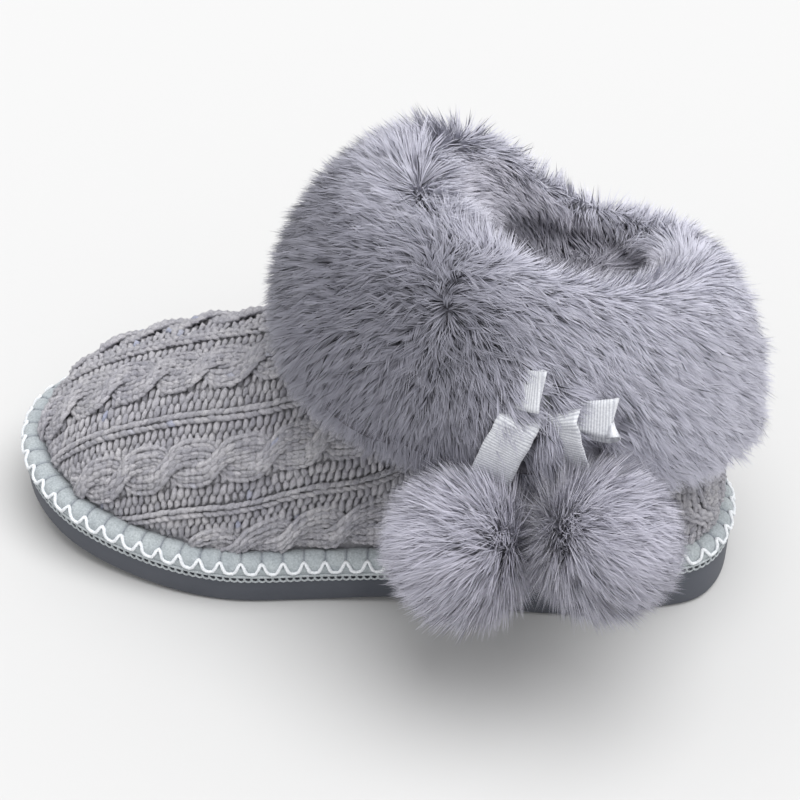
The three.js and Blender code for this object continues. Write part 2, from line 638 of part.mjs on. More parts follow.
// A ball of fur: a core with locks all round, pressed flat against its neighbour and the cuff
function furBall(half) {
  const centre = ballCentre(half);
  const core = new THREE.IcosahedronGeometry(half.radius, 2);
  core.translate(centre.x, centre.y, centre.z);
  const golden = Math.PI * (3 - Math.sqrt(5));
  const locks = Array.from({ length: ballLocks }, (_, i) => {
    const z = 1 - (2 * i + 1) / ballLocks;
    const flat = Math.sqrt(1 - z * z);
    const out = new THREE.Vector3(flat * Math.cos(golden * i), flat * Math.sin(golden * i), z);
    const down = new THREE.Vector3(0, 0, -1).addScaledVector(out, z).normalize();
    const point = centre.clone().addScaledVector(out, half.radius - 0.5);
    return lock({ point, out, down: down.multiplyScalar(0.5) }, lockLength, lockWidth);
  });
  const [front, back] = bowHalves.map(ballCentre);
  const between = front.clone().lerp(back, ballRadiusFront / (ballRadiusFront + ballRadiusBack));
  const away = centre.clone().sub(between).normalize();
  const size = 4 * half.radius;
  const wall = new THREE.BoxGeometry(size, size, size);
  wall.translate(-size / 2, 0, 0);
  wall.applyQuaternion(new THREE.Quaternion().setFromUnitVectors(new THREE.Vector3(1, 0, 0), away));
  between.addScaledVector(away, clearance / 2);
  wall.translate(between.x, between.y, between.z);
  const slots = join(bowHalves.map(tailSlot));
  const cut = join([solid(wall), cuffBody(clearance), slots]);
  return largest(join([solid(core), ...locks]).subtract(cut));
}

const slipper = new THREE.Group();
slipper.add(toMesh('outsole', outsole(), rubber));
slipper.add(toMesh('insole', insole(), fleece));
slipper.add(toMesh('upper', upper(), knit));
slipper.add(toMesh('binding', bindingBand(), binding));
slipper.add(toMesh('fur_cuff', furCuff(), fur));
slipper.add(toMesh('ribbon_knot', knot(), grosgrain));
for (const half of bowHalves) {
  slipper.add(toMesh(`ribbon_loop_${half.name}`, ribbonLoop(half), grosgrain));
  slipper.add(toMesh(`ribbon_tail_${half.name}`, ribbonTail(half), grosgrain));
  slipper.add(toMesh(`fur_ball_${half.name}`, furBall(half), fur));
}

export default slipper;
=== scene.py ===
"""A knit slipper for the left foot: hollow cable-knit upper, folded fur cuff, padded binding, ribbon
bow with two fur balls and a moulded rubber sole. Metres, +Z up, toe towards -X, outer side towards -Y.
Sizes inside the sections are in millimetres and become metres where a mesh is made."""

import math
import bpy
import numpy as np
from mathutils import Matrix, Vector, kdtree


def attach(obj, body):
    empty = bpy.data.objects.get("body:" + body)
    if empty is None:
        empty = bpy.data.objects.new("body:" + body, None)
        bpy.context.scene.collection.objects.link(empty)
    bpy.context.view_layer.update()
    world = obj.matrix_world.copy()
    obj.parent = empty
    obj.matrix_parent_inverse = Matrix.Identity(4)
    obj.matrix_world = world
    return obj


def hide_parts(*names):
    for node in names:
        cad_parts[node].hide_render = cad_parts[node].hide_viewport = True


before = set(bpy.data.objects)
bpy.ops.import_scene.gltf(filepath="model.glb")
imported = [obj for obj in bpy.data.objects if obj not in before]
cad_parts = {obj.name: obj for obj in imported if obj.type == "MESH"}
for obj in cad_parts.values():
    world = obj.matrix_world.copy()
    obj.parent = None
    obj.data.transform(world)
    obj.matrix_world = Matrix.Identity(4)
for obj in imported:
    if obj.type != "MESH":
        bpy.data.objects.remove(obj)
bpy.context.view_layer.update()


# Outsole. One moulded cup sole in matt slate rubber, its lower edge rounded and its underside
# grooved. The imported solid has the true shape, so it stays and gets its rubber here.
def new_material(name, roughness):
    """A material with one Principled shader: the material, its tree and the shader."""
    made = bpy.data.materials.new(name)
    made.use_nodes = True
    tree = made.node_tree
    tree.nodes.clear()
    output = tree.nodes.new("ShaderNodeOutputMaterial")
    shader = tree.nodes.new("ShaderNodeBsdfPrincipled")
    shader.inputs["Roughness"].default_value = roughness
    tree.links.new(shader.outputs["BSDF"], output.inputs["Surface"])
    return made, tree, shader


def wire(tree, kind, inputs=None, **settings):
    """Adds a node. Inputs are values, or sockets to link from, by socket name or number."""
    node = tree.nodes.new(kind)
    for key, value in settings.items():
        setattr(node, key, value)
    for key, value in (inputs or {}).items():
        if isinstance(value, bpy.types.NodeSocket):
            tree.links.new(value, node.inputs[key])
        else:
            node.inputs[key].default_value = value
    return node


def ramp(tree, factor, stops):
    """A colour ramp over a factor, from (position, colour) pairs."""
    node = wire(tree, "ShaderNodeValToRGB", {"Fac": factor})
    points = node.color_ramp.elements
    while len(points) < len(stops):
        points.new(1.0)
    for point, (place, colour) in zip(points, stops):
        point.position = place
        point.color = (*colour, 1)
    return node.outputs["Color"]


def bump(tree, shader, height, strength, depth):
    """Relief of a depth in metres from a height socket."""
    relief = wire(tree, "ShaderNodeBump", {"Height": height, "Strength": strength, "Distance": depth})
    tree.links.new(relief.outputs["Normal"], shader.inputs["Normal"])


def node_group(name, inputs, outputs):
    """An empty shader node group with named sockets, and the sockets that its inputs come in by."""
    group = bpy.data.node_groups.new(name, "ShaderNodeTree")
    for way, sockets in (("INPUT", inputs), ("OUTPUT", outputs)):
        for socket, kind in sockets.items():
            group.interface.new_socket(socket, in_out=way, socket_type=f"NodeSocket{kind}")
    return group, wire(group, "NodeGroupInput").outputs


# fine grain that stays with the piece: a colour from dark to light over noise, and the noise as a height
grain, given = node_group(
    "grain",
    {"Scale": "Float", "Detail": "Float", "Roughness": "Float", "Low": "Float", "High": "Float",
     "Dark": "Color", "Light": "Color"},
    {"Colour": "Color", "Height": "Float"},
)
place = wire(grain, "ShaderNodeTexCoord").outputs["Object"]
inputs = {"Vector": place} | {name: given[name] for name in ("Scale", "Detail", "Roughness")}
height = wire(grain, "ShaderNodeTexNoise", inputs).outputs["Fac"]
inputs = {"Value": height, "From Min": given["Low"], "From Max": given["High"]}
share = wire(grain, "ShaderNodeMapRange", inputs).outputs["Result"]
mixed = wire(grain, "ShaderNodeMix", {0: share, 6: given["Dark"], 7: given["Light"]}, data_type="RGBA")
wire(grain, "NodeGroupOutput", {"Colour": mixed.outputs[2], "Height": height})


def grained(tree, scale, detail, roughness=0.5, dark=(0, 0, 0), light=(1, 1, 1), low=0.3, high=0.7):
    """The grain in a material, with its own values: its colour and its height."""
    inputs = {"Scale": scale, "Detail": detail, "Roughness": roughness, "Low": low, "High": high}
    inputs |= {"Dark": (*dark, 1), "Light": (*light, 1)}
    node = wire(tree, "ShaderNodeGroup", inputs, node_tree=grain)
    return node.outputs["Colour"], node.outputs["Height"]


rubber, tree, shader = new_material("slate_rubber", 0.62)
colour, _ = grained(tree, 40, 4, dark=(0.060, 0.066, 0.082), light=(0.084, 0.091, 0.110))
tree.links.new(colour, shader.inputs["Base Color"])
bump(tree, shader, grained(tree, 1400, 3)[1], 0.25, 0.0003)
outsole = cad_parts["outsole"]
outsole.data.materials.clear()
outsole.data.materials.append(rubber)
outsole.data.polygons.foreach_set("use_smooth", np.ones(len(outsole.data.polygons), bool))
outsole.data.set_sharp_from_angle(angle=math.radians(32))


# Foot form. The knitted upper, its lining, the insole and the binding all follow the same last: the
# outline of the sole, the height of its rim along the shoe, and the crest of the closed form.
SOLE_LENGTH = 256.5
BALL_WIDTH = 94
HEEL_INSET = 42
BAND_DEPTH = 6.2
BAND_HEIGHT = 7
VAMP_HEIGHT = 81.5
COLLAR_HEIGHT = 123
LEG_X = -17  # the leg's axis
LEG_Y = 3
RIM_HEIGHT = 12.9  # of the outsole under the ball of the foot
HEEL_RISE = 5.8  # how much higher the rim lies at the heel
TOE_SPRING = 10.4
SPRING_FROM = 0.68  # share of the length from the heel where the toe starts to rise
HEEL_LEAN = 13  # how far the collar leans forward at the heel
LEG_SHIFT = 6  # how far the collar lies to the inner side
CREST_SHIFT = 4  # how far the vamp's crest lies to the inner side
LEG_FLARE = 0.12  # how much wider the form is at the collar
CLEARANCE = 0.3
OUTLINE = [  # share of the length from the heel, outer side and inner side in ball widths
    (0.012, 0.106, 0.112), (0.038, 0.243, 0.228), (0.10, 0.324, 0.306), (0.22, 0.405, 0.328),
    (0.40, 0.422, 0.328), (0.55, 0.459, 0.413), (0.68, 0.511, 0.500), (0.79, 0.474, 0.515),
    (0.91, 0.350, 0.460), (0.97, 0.195, 0.325), (0.997, 0.030, 0.165),
]
FORM = [  # share of the length from the heel, crest in vamp heights, squareness of the section
    (0.00, 2.70, 3.2), (0.30, 2.65, 3.2), (0.35, 2.35, 3.1), (0.38, 1.90, 3.0), (0.41, 1.61, 2.9),
    (0.45, 1.45, 2.8), (0.50, 1.31, 2.7), (0.55, 1.19, 2.6), (0.60, 1.08, 2.5), (0.66, 0.98, 2.4),
    (0.75, 0.875, 2.4), (0.85, 0.725, 2.4), (0.905, 0.615, 2.4), (0.95, 0.495, 2.4), (0.98, 0.36, 2.4),
]


def smooth(low, high, value):
    share = np.clip((value - low) / (high - low), 0, 1)
    return share * share * (3 - 2 * share)


def unit(vectors):
    return vectors / np.maximum(np.linalg.norm(vectors, axis=-1, keepdims=True), 1e-9)


def closed_curve(points, steps):
    """A smooth closed line through points, with the same number of steps between each two."""
    points = np.asarray(points, float)
    count = len(points)
    u = np.linspace(0, 1, steps, endpoint=False)[:, None]
    rows = []
    for k in range(count):
        p0, p1, p2, p3 = (points[(k + step) % count] for step in (-1, 0, 1, 2))
        d0, d1, d2 = (math.sqrt(np.linalg.norm(b - a)) for a, b in ((p0, p1), (p1, p2), (p2, p3)))
        start = d1 * ((p1 - p0) / d0 - (p2 - p0) / (d0 + d1) + (p2 - p1) / d1)
        end = d1 * ((p2 - p1) / d1 - (p3 - p1) / (d1 + d2) + (p3 - p2) / d2)
        bend = 3 * (p2 - p1) - 2 * start - end
        rows.append(p1 + u * start + u**2 * bend + u**3 * (2 * (p1 - p2) + start + end))
    return np.concatenate(rows)


def table_curve(value, rows, column):
    """A column of a table as a smooth curve over its first column."""
    t, v = np.array([row[0] for row in rows]), np.array([row[column] for row in rows])
    before = np.maximum(np.arange(len(t)) - 1, 0)
    after = np.minimum(np.arange(len(t)) + 1, len(t) - 1)
    slope = (v[after] - v[before]) / (t[after] - t[before])
    value = np.clip(value, t[0], t[-1])
    i = np.clip(np.searchsorted(t, value, "right") - 1, 0, len(t) - 2)
    span = t[i + 1] - t[i]
    u = (value - t[i]) / span
    start, end = slope[i] * span, slope[i + 1] * span
    bend = 3 * (v[i + 1] - v[i]) - 2 * start - end + u * (2 * (v[i] - v[i + 1]) + start + end)
    return v[i] + u * (start + u * bend)


outline = closed_curve(
    [(HEEL_INSET - SOLE_LENGTH * s, -BALL_WIDTH * outer) for s, outer, inner in OUTLINE]
    + [(HEEL_INSET - SOLE_LENGTH * s, BALL_WIDTH * inner) for s, outer, inner in OUTLINE[::-1]],
    24,
)


def outline_inset(inset):
    """The sole's outline moved inwards, as a closed line from the back of the heel."""
    run = np.roll(outline, -1, 0) - np.roll(outline, 1, 0)
    moved = outline - inset * unit(np.stack([-run[:, 1], run[:, 0]], 1))
    return np.roll(moved, -moved[:, 0].argmax(), 0)


def share_at(x):
    return (HEEL_INSET - x) / SOLE_LENGTH


def toe_spring(t):
    return TOE_SPRING * (np.maximum(t - SPRING_FROM, 0) / (1 - SPRING_FROM)) ** 2


def rim_height(x):
    t = share_at(x)
    return RIM_HEIGHT + toe_spring(t) + HEEL_RISE * (1 - smooth(0.22, 0.62, t))


def leg_form(t, climb):
    """The form's lean forward, shift to the inner side and flare, by the climb from the band, 0, to the
    collar, 1."""
    leg = 1 - smooth(0.4, 0.6, t)
    lean = HEEL_LEAN * climb**2 * (1 - smooth(0, 0.34, t))
    return lean, LEG_SHIFT * climb * leg, 1 + LEG_FLARE * climb * leg


def two_sides(line, x):
    """The outer and the inner side of a closed line, as y at given x."""
    tip = line[:, 0].argmin()
    sides = line[: tip + 1][::-1], np.vstack([line[tip:], line[:1]])
    return [np.interp(x, side[:, 0], side[:, 1]) for side in sides]


def foot_form(inset, stations, count):
    """The closed form moved inwards: rows from the toe to the heel, each from the outer side over the
    crest to the inner side."""
    line = outline_inset(BAND_DEPTH + inset)
    toe, heel = line[:, 0].min(), line[0, 0]
    x = toe + (heel - toe) * (1 - np.cos(np.pi * np.linspace(0, 1, stations))) / 2
    low, high = two_sides(line, x)
    low_near, high_near = two_sides(line, np.clip(x, toe + 4, heel - 4))  # the tips take the middle from here
    at_end = np.isin(np.arange(stations), (0, stations - 1))
    half = np.where(at_end, 0, (high - low) / 2)[:, None]
    middle = np.where(at_end, (high_near + low_near) / 2, (high + low) / 2)[:, None]
    t = share_at(x)
    base = rim_height(x)[:, None] + CLEARANCE
    tall = table_curve(t, FORM, 1)[:, None] * VAMP_HEIGHT - inset - base
    power = (2 / table_curve(t, FORM, 2))[:, None]
    angle = np.pi * np.linspace(0, 1, count)[None]
    across = -half * np.sign(np.cos(angle)) * np.abs(np.cos(angle)) ** power
    up = tall * np.abs(np.sin(angle)) ** power
    rise = np.maximum(up - BAND_HEIGHT, 0)
    climb = np.minimum(rise / (COLLAR_HEIGHT - base - BAND_HEIGHT), 1.3)
    lean, shift, flare = leg_form(t[:, None], climb)
    shift = shift + CREST_SHIFT * rise / tall * smooth(0.4, 0.6, t)[:, None]
    return np.stack([x[:, None] - lean, middle + across * flare + shift, base + up], -1)


def surface_normals(grid):
    """Outward directions of a grid of points."""
    return unit(np.cross(np.gradient(grid, axis=0), np.gradient(grid, axis=1)))


def grid_faces(rows, columns, close_rows=False, close_columns=False):
    """Four-cornered faces over a grid of points."""
    i = np.arange(rows if close_rows else rows - 1)[:, None]
    j = np.arange(columns if close_columns else columns - 1)[None]
    i_next, j_next = (i + 1) % rows, (j + 1) % columns
    corners = [i * columns + j, i * columns + j_next, i_next * columns + j_next, i_next * columns + j]
    return np.stack(np.broadcast_arrays(*corners), -1).reshape(-1, 4)


def make_piece(name, points, faces, finish, **attributes):
    """A smooth mesh object from arrays, points in millimetres, riding on the shoe. Attributes are one
    number a point."""
    faces = np.asarray(faces, np.int32)
    mesh = bpy.data.meshes.new(name)
    mesh.vertices.add(len(points))
    mesh.vertices.foreach_set("co", (np.asarray(points) * 0.001).astype(np.float32).ravel())
    mesh.loops.add(faces.size)
    mesh.loops.foreach_set("vertex_index", faces.ravel())
    mesh.polygons.add(len(faces))
    mesh.polygons.foreach_set("loop_start", np.arange(0, faces.size, faces.shape[1], dtype=np.int32))
    mesh.polygons.foreach_set("use_smooth", np.ones(len(faces), bool))
    mesh.update(calc_edges=True)
    for key, values in attributes.items():
        layer = mesh.attributes.new(key, "FLOAT", "POINT")
        layer.data.foreach_set("value", np.asarray(values, np.float32).ravel())
    mesh.materials.append(finish)
    made = bpy.data.objects.new(name, mesh)
    bpy.context.scene.collection.objects.link(made)
    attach(made, "root")
    return made


# Outsole, wall. The smooth moulded side of the same rubber, from the rounded lower edge up to the rim.
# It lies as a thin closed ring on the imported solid, whose side is made of flat facets.
SOLE_EDGE = 2.5  # radius of the lower edge
ARCH_LIFT = 2.4
ARCH = (0.30, 0.44, 0.58)  # shares of the length where the arch starts, is highest and ends
SKIN = 0.12  # how far the ring stands out
RING_IN, RING_UP = 0.8, 0.3  # how far its hidden side lies in and up


def sole_level(inset, height, part_up):
    """One line round the wall: its inset, and its height over the floor side plus a part of the way up."""
    line = outline_inset(inset)[::2]
    t = share_at(line[:, 0])
    start, top, end = ARCH
    arch = np.maximum(smooth(start, top, t) - smooth(top, end, t), 0)
    under = toe_spring(t) + ARCH_LIFT * arch
    level = under + height + part_up * (rim_height(line[:, 0]) - under)
    return np.column_stack([line, level])


levels = [  # inset, height and part of the way up: round the lower edge, up the side and over the rim
    (SOLE_EDGE * (1 - math.sin(turn)), SOLE_EDGE * (1 - math.cos(turn)), 0)
    for turn in np.radians(np.linspace(0, 90, 7))
]
levels += [(-0.2, 1.3, 0.27), (-0.4, 0, 0.55), (-0.25, -0.5, 0.8), (0, -1, 1)]
levels += [(0.35, -0.35, 1), (1, -0.05, 1)]
skin = [sole_level(inset - SKIN, height, part_up) for inset, height, part_up in levels]
skin += [sole_level(inset + RING_IN, height + RING_UP, part_up) for inset, height, part_up in levels[::-3]]
sole_wall = make_piece(
    "outsole_wall", np.concatenate(skin), grid_faces(len(skin), len(skin[0]), True, True), rubber
)

# Upper, shell. The hollow body of the knit in two sheets, open at the collar and underneath: a close
# grey ground between and behind the stitches, painted darker than the yarn as the shade in the gaps
# between them, and the dark backing of the lining inside.
WALL = 3
GROUND = 1.2  # how far the ground lies below the stitches
COLLAR_TILT = 8  # degrees, lower at the heel
HIDDEN = 16  # how much of the collar is left away inside the cuff's turn


def collar_plane(x):
    return COLLAR_HEIGHT - math.tan(math.radians(COLLAR_TILT)) * (x - LEG_X)


def plain_material(name, roughness, fineness, dark, light, relief):
    """One colour from dark to light over a grain, given by scale and detail, with a relief, given by
    strength and depth."""
    made, tree, shader = new_material(name, roughness)
    colour, height = grained(tree, *fineness, dark=dark, light=light)
    tree.links.new(colour, shader.inputs["Base Color"])
    bump(tree, shader, height, *relief)
    return made


def shell(inset, stations=121, count=73):
    """The form under the collar's plane: its points, and the faces that aren't cut away."""
    grid = foot_form(inset, stations, count)
    top = collar_plane(grid[..., 0]) - HIDDEN
    above = (grid[..., 2] > top).ravel()
    grid[..., 2] = np.minimum(grid[..., 2], top)
    faces = grid_faces(stations, count)
    return grid.reshape(-1, 3), faces[~above[faces].all(1)]


# painted shade: the ground is darker than the yarn so that the gaps between the stitches look shaded
shaded_ground = plain_material(
    "knit_ground_painted_shade", 0.95, (900, 4), (0.30, 0.297, 0.32), (0.44, 0.435, 0.465), (0.5, 0.0008)
)
outside, outside_faces = shell(GROUND)
upper_shell = make_piece("upper_shell", outside, outside_faces, shaded_ground)
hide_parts("upper")
backing_cloth = plain_material(
    "lining_backing", 1.0, (500, 5), (0.07, 0.068, 0.08), (0.17, 0.165, 0.19), (0.8, 0.002)
)
inside, inside_faces = shell(WALL)
upper_lining = make_piece("upper_lining", inside, inside_faces[:, ::-1], backing_cloth)
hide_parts("upper")

# Upper, knit. Plump chenille yarn in wales that run from the toe to the instep: a rib of chained
# stitches, staggered purl bumps, a rope cable of two crossing strands, purl bumps again. Each stitch is
# modelled as a short strand of yarn.
ROW = 2.7  # from one stitch to the next
REPEAT = 34.5  # from one cable to the next
CROSSING = 19  # from one crossing of a cable to the next
CABLE_AT = -11  # middle of the first cable, from the crest towards the outer side
RIB_AT = -29.5
STRAND_AT = 4.3  # middle of a cable's strand, from the cable's middle
WALE = 2.7  # from one wale of a strand to the next
FILL_AT = 6.4  # middle of the bumps beside a cable, from the cable's middle
PURLS = ((4.1, 0), (7.7, 0.5))  # middle of the bumps beside a rib, and the part of a row they lie on
YARN = 1.1  # half the thickness of the yarn
UNDER_CUFF = 104  # height where the stitches are out of sight under the cuff
PHASES = {0: 0.28, -1: 0.79, -2: 0.37}  # where the cables of the outer side cross, by number


def attribute(tree, name):
    return wire(tree, "ShaderNodeAttribute", attribute_name=name).outputs["Fac"]


def multiplied(tree, first, second):
    """The product of two colours."""
    inputs = {0: 1.0, 6: first, 7: second}
    return wire(tree, "ShaderNodeMix", inputs, data_type="RGBA", blend_type="MULTIPLY").outputs[2]


yarn, tree, shader = new_material("chenille_yarn", 0.9)
shader.inputs["Sheen Weight"].default_value = 0.35
shader.inputs["Sheen Roughness"].default_value = 0.45
shader.inputs["Specular IOR Level"].default_value = 0.2
colour, fuzz = grained(tree, 1300, 6, 0.75, (0.46, 0.455, 0.49), (0.90, 0.89, 0.93), 0.28, 0.72)
patch, _ = grained(tree, 45, 3, dark=(0.86, 0.86, 0.90))
tints = [(0.0, (0.74, 0.74, 0.77)), (0.99, (1.10, 1.09, 1.08)), (1.0, (0.80, 0.86, 1.04))]  # rarely bluish
strand = ramp(tree, attribute(tree, "tint"), tints)
colour = multiplied(tree, multiplied(tree, colour, patch), strand)
tree.links.new(colour, shader.inputs["Base Color"])
bump(tree, shader, fuzz, 0.9, 0.0018)


def lie(grid, i, j):
    """Points of a grid at fractional rows and columns."""
    i = np.clip(i, 0, grid.shape[0] - 1.001)
    j = np.clip(j, 0, grid.shape[1] - 1.001)
    a, b = i.astype(int), j.astype(int)
    u, v = (i - a)[..., None], (j - b)[..., None]
    return (grid[a, b] * (1 - u) + grid[a + 1, b] * u) * (1 - v) + (
        grid[a, b + 1] * (1 - u) + grid[a + 1, b + 1] * u
    ) * v


def strands(paths, normals, wide, high, rng, sides=4):
    """Plump yarn along many short paths that close to a tip at both ends: points and faces."""
    count, length = paths.shape[:2]
    plump = rng.normal(1, 0.1, (count, 1, 1, 1))
    along = unit(np.gradient(paths, axis=1))
    across = unit(np.cross(along, normals))
    up = np.cross(across, along)
    angle = 2 * np.pi * np.arange(sides) / sides
    inner = slice(1, length - 1)
    rings = paths[:, inner, None] + (
        across[:, inner, None] * np.cos(angle)[:, None] * np.reshape(wide, (1, -1, 1, 1))
        + up[:, inner, None] * np.sin(angle)[:, None] * np.reshape(high, (1, -1, 1, 1))
    ) * plump
    rings = rings + rng.normal(0, 0.09, rings.shape)
    points = np.concatenate([paths[:, :1], rings.reshape(count, -1, 3), paths[:, -1:]], 1)
    j = np.arange(sides)
    after = (j + 1) % sides
    faces = [np.stack([np.zeros(sides, int), 1 + j, 1 + after], 1)]
    for ring in range(length - 3):
        a = 1 + ring * sides
        faces.append(np.stack([a + j, a + sides + j, a + after], 1))
        faces.append(np.stack([a + after, a + sides + j, a + sides + after], 1))
    a = 1 + (length - 3) * sides
    faces.append(np.stack([np.full(sides, a + sides), a + after, a + j], 1))
    faces = np.concatenate(faces)
    size = points.shape[1]
    faces = (faces[None] + size * np.arange(count)[:, None, None]).reshape(-1, 3)
    return points.reshape(-1, 3), faces


def cable_strand(phase):
    """Sideways place and lift of one strand of a cable, by the share of its double crossing."""
    phase = np.mod(phase, 2)
    over = phase < 1
    part = np.where(over, phase, phase - 1)
    eased = part - 0.1 * np.sin(2 * np.pi * part)
    side = np.where(over, -1, 1) * STRAND_AT * np.cos(np.pi * eased)
    lift = np.where(over, 1.5, -0.7) * np.sin(np.pi * part) ** 0.8
    return side, lift


def run_along(line):
    """The length along a line at each of its points."""
    return np.concatenate([[0], np.cumsum(np.linalg.norm(np.diff(line, axis=0), axis=1))])


def knit(surface, normal, columns, offset, origin, seed):
    """Stitches over a surface whose rows run along the wales and whose columns lie 1 mm apart. Each
    column is (kind, place, phase). Returns points, faces and tint."""
    rng = np.random.default_rng(seed)
    steps = np.arange(surface.shape[0], dtype=float)
    bodies = []
    for kind, at, phase in columns:
        line = lie(surface, steps, np.full(len(steps), at + offset))
        good = ~np.isnan(line).any(1)
        if good.sum() < 12:
            continue
        index, run = steps[good], run_along(line[good])
        zero = run[np.argmin(np.abs(index - origin))]
        rows = np.arange(math.ceil(-zero / ROW), int((run[-1] - zero) / ROW))[:, None] * ROW
        if len(rows) < 2:
            continue

        def uneven(spread):
            return rng.normal(0, spread, rows.shape)

        def stitches(t, s, h, wide, high):
            """Yarn through points at t along the wale from each row, s across it and h over it."""
            i = np.interp(zero + t, run, index)
            up = lie(normal, i, at + s + offset)
            paths = lie(surface, i, at + s + offset) + up * h[..., None]
            whole = ~np.isnan(paths).any((1, 2))
            if whole.any():
                wide, high = (np.array(values) * YARN for values in (wide, high))
                yarns = strands(paths[whole], unit(up[whole]), wide, high, rng)
                bodies.append((*yarns, whole.sum()))

        def v_stitches(course, width):
            """Two legs that open towards the heel, along a course: its side and lift at t."""
            part = np.array([0, 0.16, 0.5, 0.84, 1.0])
            crest = np.array([-0.7, 0.25, 0.75, 0.3, -0.8])
            for leg in (-1, 1):
                t = rows + ROW * (1.62 * part - 0.2) + uneven(0.12)
                side, lift = course(t)
                s = side + leg * (0.35 + part**0.8) * width + uneven(0.12)
                stitches(t, s, lift + crest + uneven(0.1), [0.72, 1.0, 0.72], [0.75, 0.95, 0.75])

        if kind == "rib":
            v_stitches(lambda t: (0, 0.5), 1.25)
        if kind in ("purl", "fill"):
            part = np.array([0, 0.12, 0.5, 0.88, 1.0])
            half, tilt = 2.35 + uneven(0.2), 0.45 + uneven(0.35)
            s = (2 * part - 1) * half + uneven(0.15)
            t = rows + ROW * phase + tilt * (2 * part - 1) + 0.6 * np.sin(np.pi * part)
            sunk = 0.7 if kind == "purl" else 1.0
            h = 1.1 * np.sin(np.pi * part) - sunk + uneven(0.15)
            stitches(t, s, h, [0.85, 1.1, 0.85], [0.8, 1.05, 0.8])
        if kind == "cable":
            for first in (0, 1):
                for wale, crown in ((-WALE, 0.0), (0.0, 0.45), (WALE, 0.0)):

                    def rope(t):
                        side, lift = cable_strand(t / CROSSING + phase + first)
                        return side + wale, 0.4 + crown + lift

                    v_stitches(rope, 0.95)
    sizes = np.cumsum([0] + [len(points) for points, _, _ in bodies])
    tint = [np.repeat(rng.random(count), len(points) // count) for points, _, count in bodies]
    faces = [faces + size for (_, faces, _), size in zip(bodies, sizes)]
    points = [points for points, _, _ in bodies]
    return np.concatenate(points), np.concatenate(faces), np.concatenate(tint)


# the vamp, from the toe to under the cuff, in columns of equal girth from the crest
VAMP_REACH = 125  # girth on either side of the crest
VAMP_END = -46
SPREAD = 0.2  # how much further apart the columns lie at the instep
TUCK = 1.8  # how far the stitches sink in where they go under the band
ROWS_FROM = -131  # where the rows are counted from
form = foot_form(0, 401, 601)
crest = form[:, 300]
facing = surface_normals(form)
girth = np.cumsum(np.pad(np.linalg.norm(np.diff(form, axis=1), axis=2), ((0, 0), (1, 0))), 1)
girth -= girth[:, 300:301]
reach = np.arange(-VAMP_REACH, VAMP_REACH + 1)
vamp_rows = np.flatnonzero(crest[:, 0] < VAMP_END)
vamp, vamp_up = (np.full((len(vamp_rows), len(reach), 3), np.nan) for _ in range(2))
for row in vamp_rows:
    at = reach * (1 + SPREAD * smooth(-115, -70, crest[row, 0]))
    for axis in range(3):
        vamp[row, :, axis] = np.interp(at, girth[row], form[row, :, axis], np.nan, np.nan)
        vamp_up[row, :, axis] = np.interp(at, girth[row], facing[row, :, axis], np.nan, np.nan)
over_band = vamp[..., 2] - rim_height(vamp[..., 0]) - CLEARANCE
vamp -= vamp_up * (TUCK * (1 - smooth(5, 11, over_band)))[..., None]
vamp[(vamp[..., 2] > UNDER_CUFF) | (over_band < BAND_HEIGHT - 4.5)] = np.nan


def pattern(low, high, cable_at, rib_at):
    """Columns between two limits: cables a repeat apart, a rib midway and purl bumps between them."""
    columns = []
    for k in range(-5, 6):
        cable, rib = cable_at + REPEAT * k, rib_at + REPEAT * k
        columns.append(("cable", cable, PHASES.get(k, 0.45 * (k % 2) + 0.1)))
        columns += [("fill", cable + side * FILL_AT, 0.5) for side in (-1, 1)]
        columns.append(("rib", rib, 0))
        columns += [("purl", rib + side * away, phase) for away, phase in PURLS for side in (1, -1)]
    return [column for column in columns if low < column[1] < high]


origin = np.argmin(np.abs(crest[:, 0] - ROWS_FROM))
for side, low, high in (("outer", -121, 3), ("inner", 3, 121)):
    columns = pattern(low, high, CABLE_AT, RIB_AT)
    points, faces, tint = knit(vamp, vamp_up, columns, VAMP_REACH, origin, 11)
    knit_half = make_piece(f"knit_vamp_{side}", points, faces, yarn, tint=tint)

# Upper, quarter. The same yarn turned upright round the heel, from seam to seam.
SEAM_X = -52
QUARTER_HEIGHT = 62  # up to where the cuff hides it
QUARTER_PROUD = 2.2  # how far its stitches stand out above the band


def at_lengths(goal, run, line):
    """The points of a line at given lengths along it."""
    return np.stack([np.interp(goal, run, line[:, axis]) for axis in range(line.shape[1])], -1)


line = outline_inset(BAND_DEPTH)
tip = line[:, 0].argmin()
outer_end = np.argmin(np.abs(line[:tip, 0] - SEAM_X))
inner_end = tip + np.argmin(np.abs(line[tip:, 0] - SEAM_X))
heel_line = np.vstack([line[inner_end:], line[: outer_end + 1]])
run = run_along(heel_line)
spots = np.arange(0, run[-1], 1.0)
x, y = at_lengths(spots, run, heel_line).T[:, None]
up = np.arange(0, QUARTER_HEIGHT, 1.0)[:, None]
base = rim_height(x) + CLEARANCE
t = share_at(x)
tall = table_curve(t, FORM, 1) * VAMP_HEIGHT - base
power = table_curve(t, FORM, 2)
narrow = (1 - np.minimum(up / tall, 0.999) ** power) ** (1 / power)
climb = np.maximum(up - BAND_HEIGHT, 0) / (COLLAR_HEIGHT - base - BAND_HEIGHT)
lean, shift, flare = leg_form(t, climb)
centre_y = np.interp(x, [-100, 40], [1.5, 0.0])
quarter = np.stack([x - lean, centre_y + (y - centre_y) * narrow * flare + shift, base + up + 0 * x], -1)
quarter_up = surface_normals(quarter)
middle = len(spots) / 2
if quarter_up[10, int(middle), 0] < 0:
    quarter_up = -quarter_up
quarter = quarter + quarter_up * (QUARTER_PROUD * smooth(5, 12, up))[..., None]
columns = pattern(3, len(spots) - 4, middle - 0.5 * REPEAT, middle)
columns += [("rib", 1.5, 0), ("rib", len(spots) - 3.0, 0)]
points, faces, tint = knit(quarter, quarter_up, columns, 0, 20, 12)
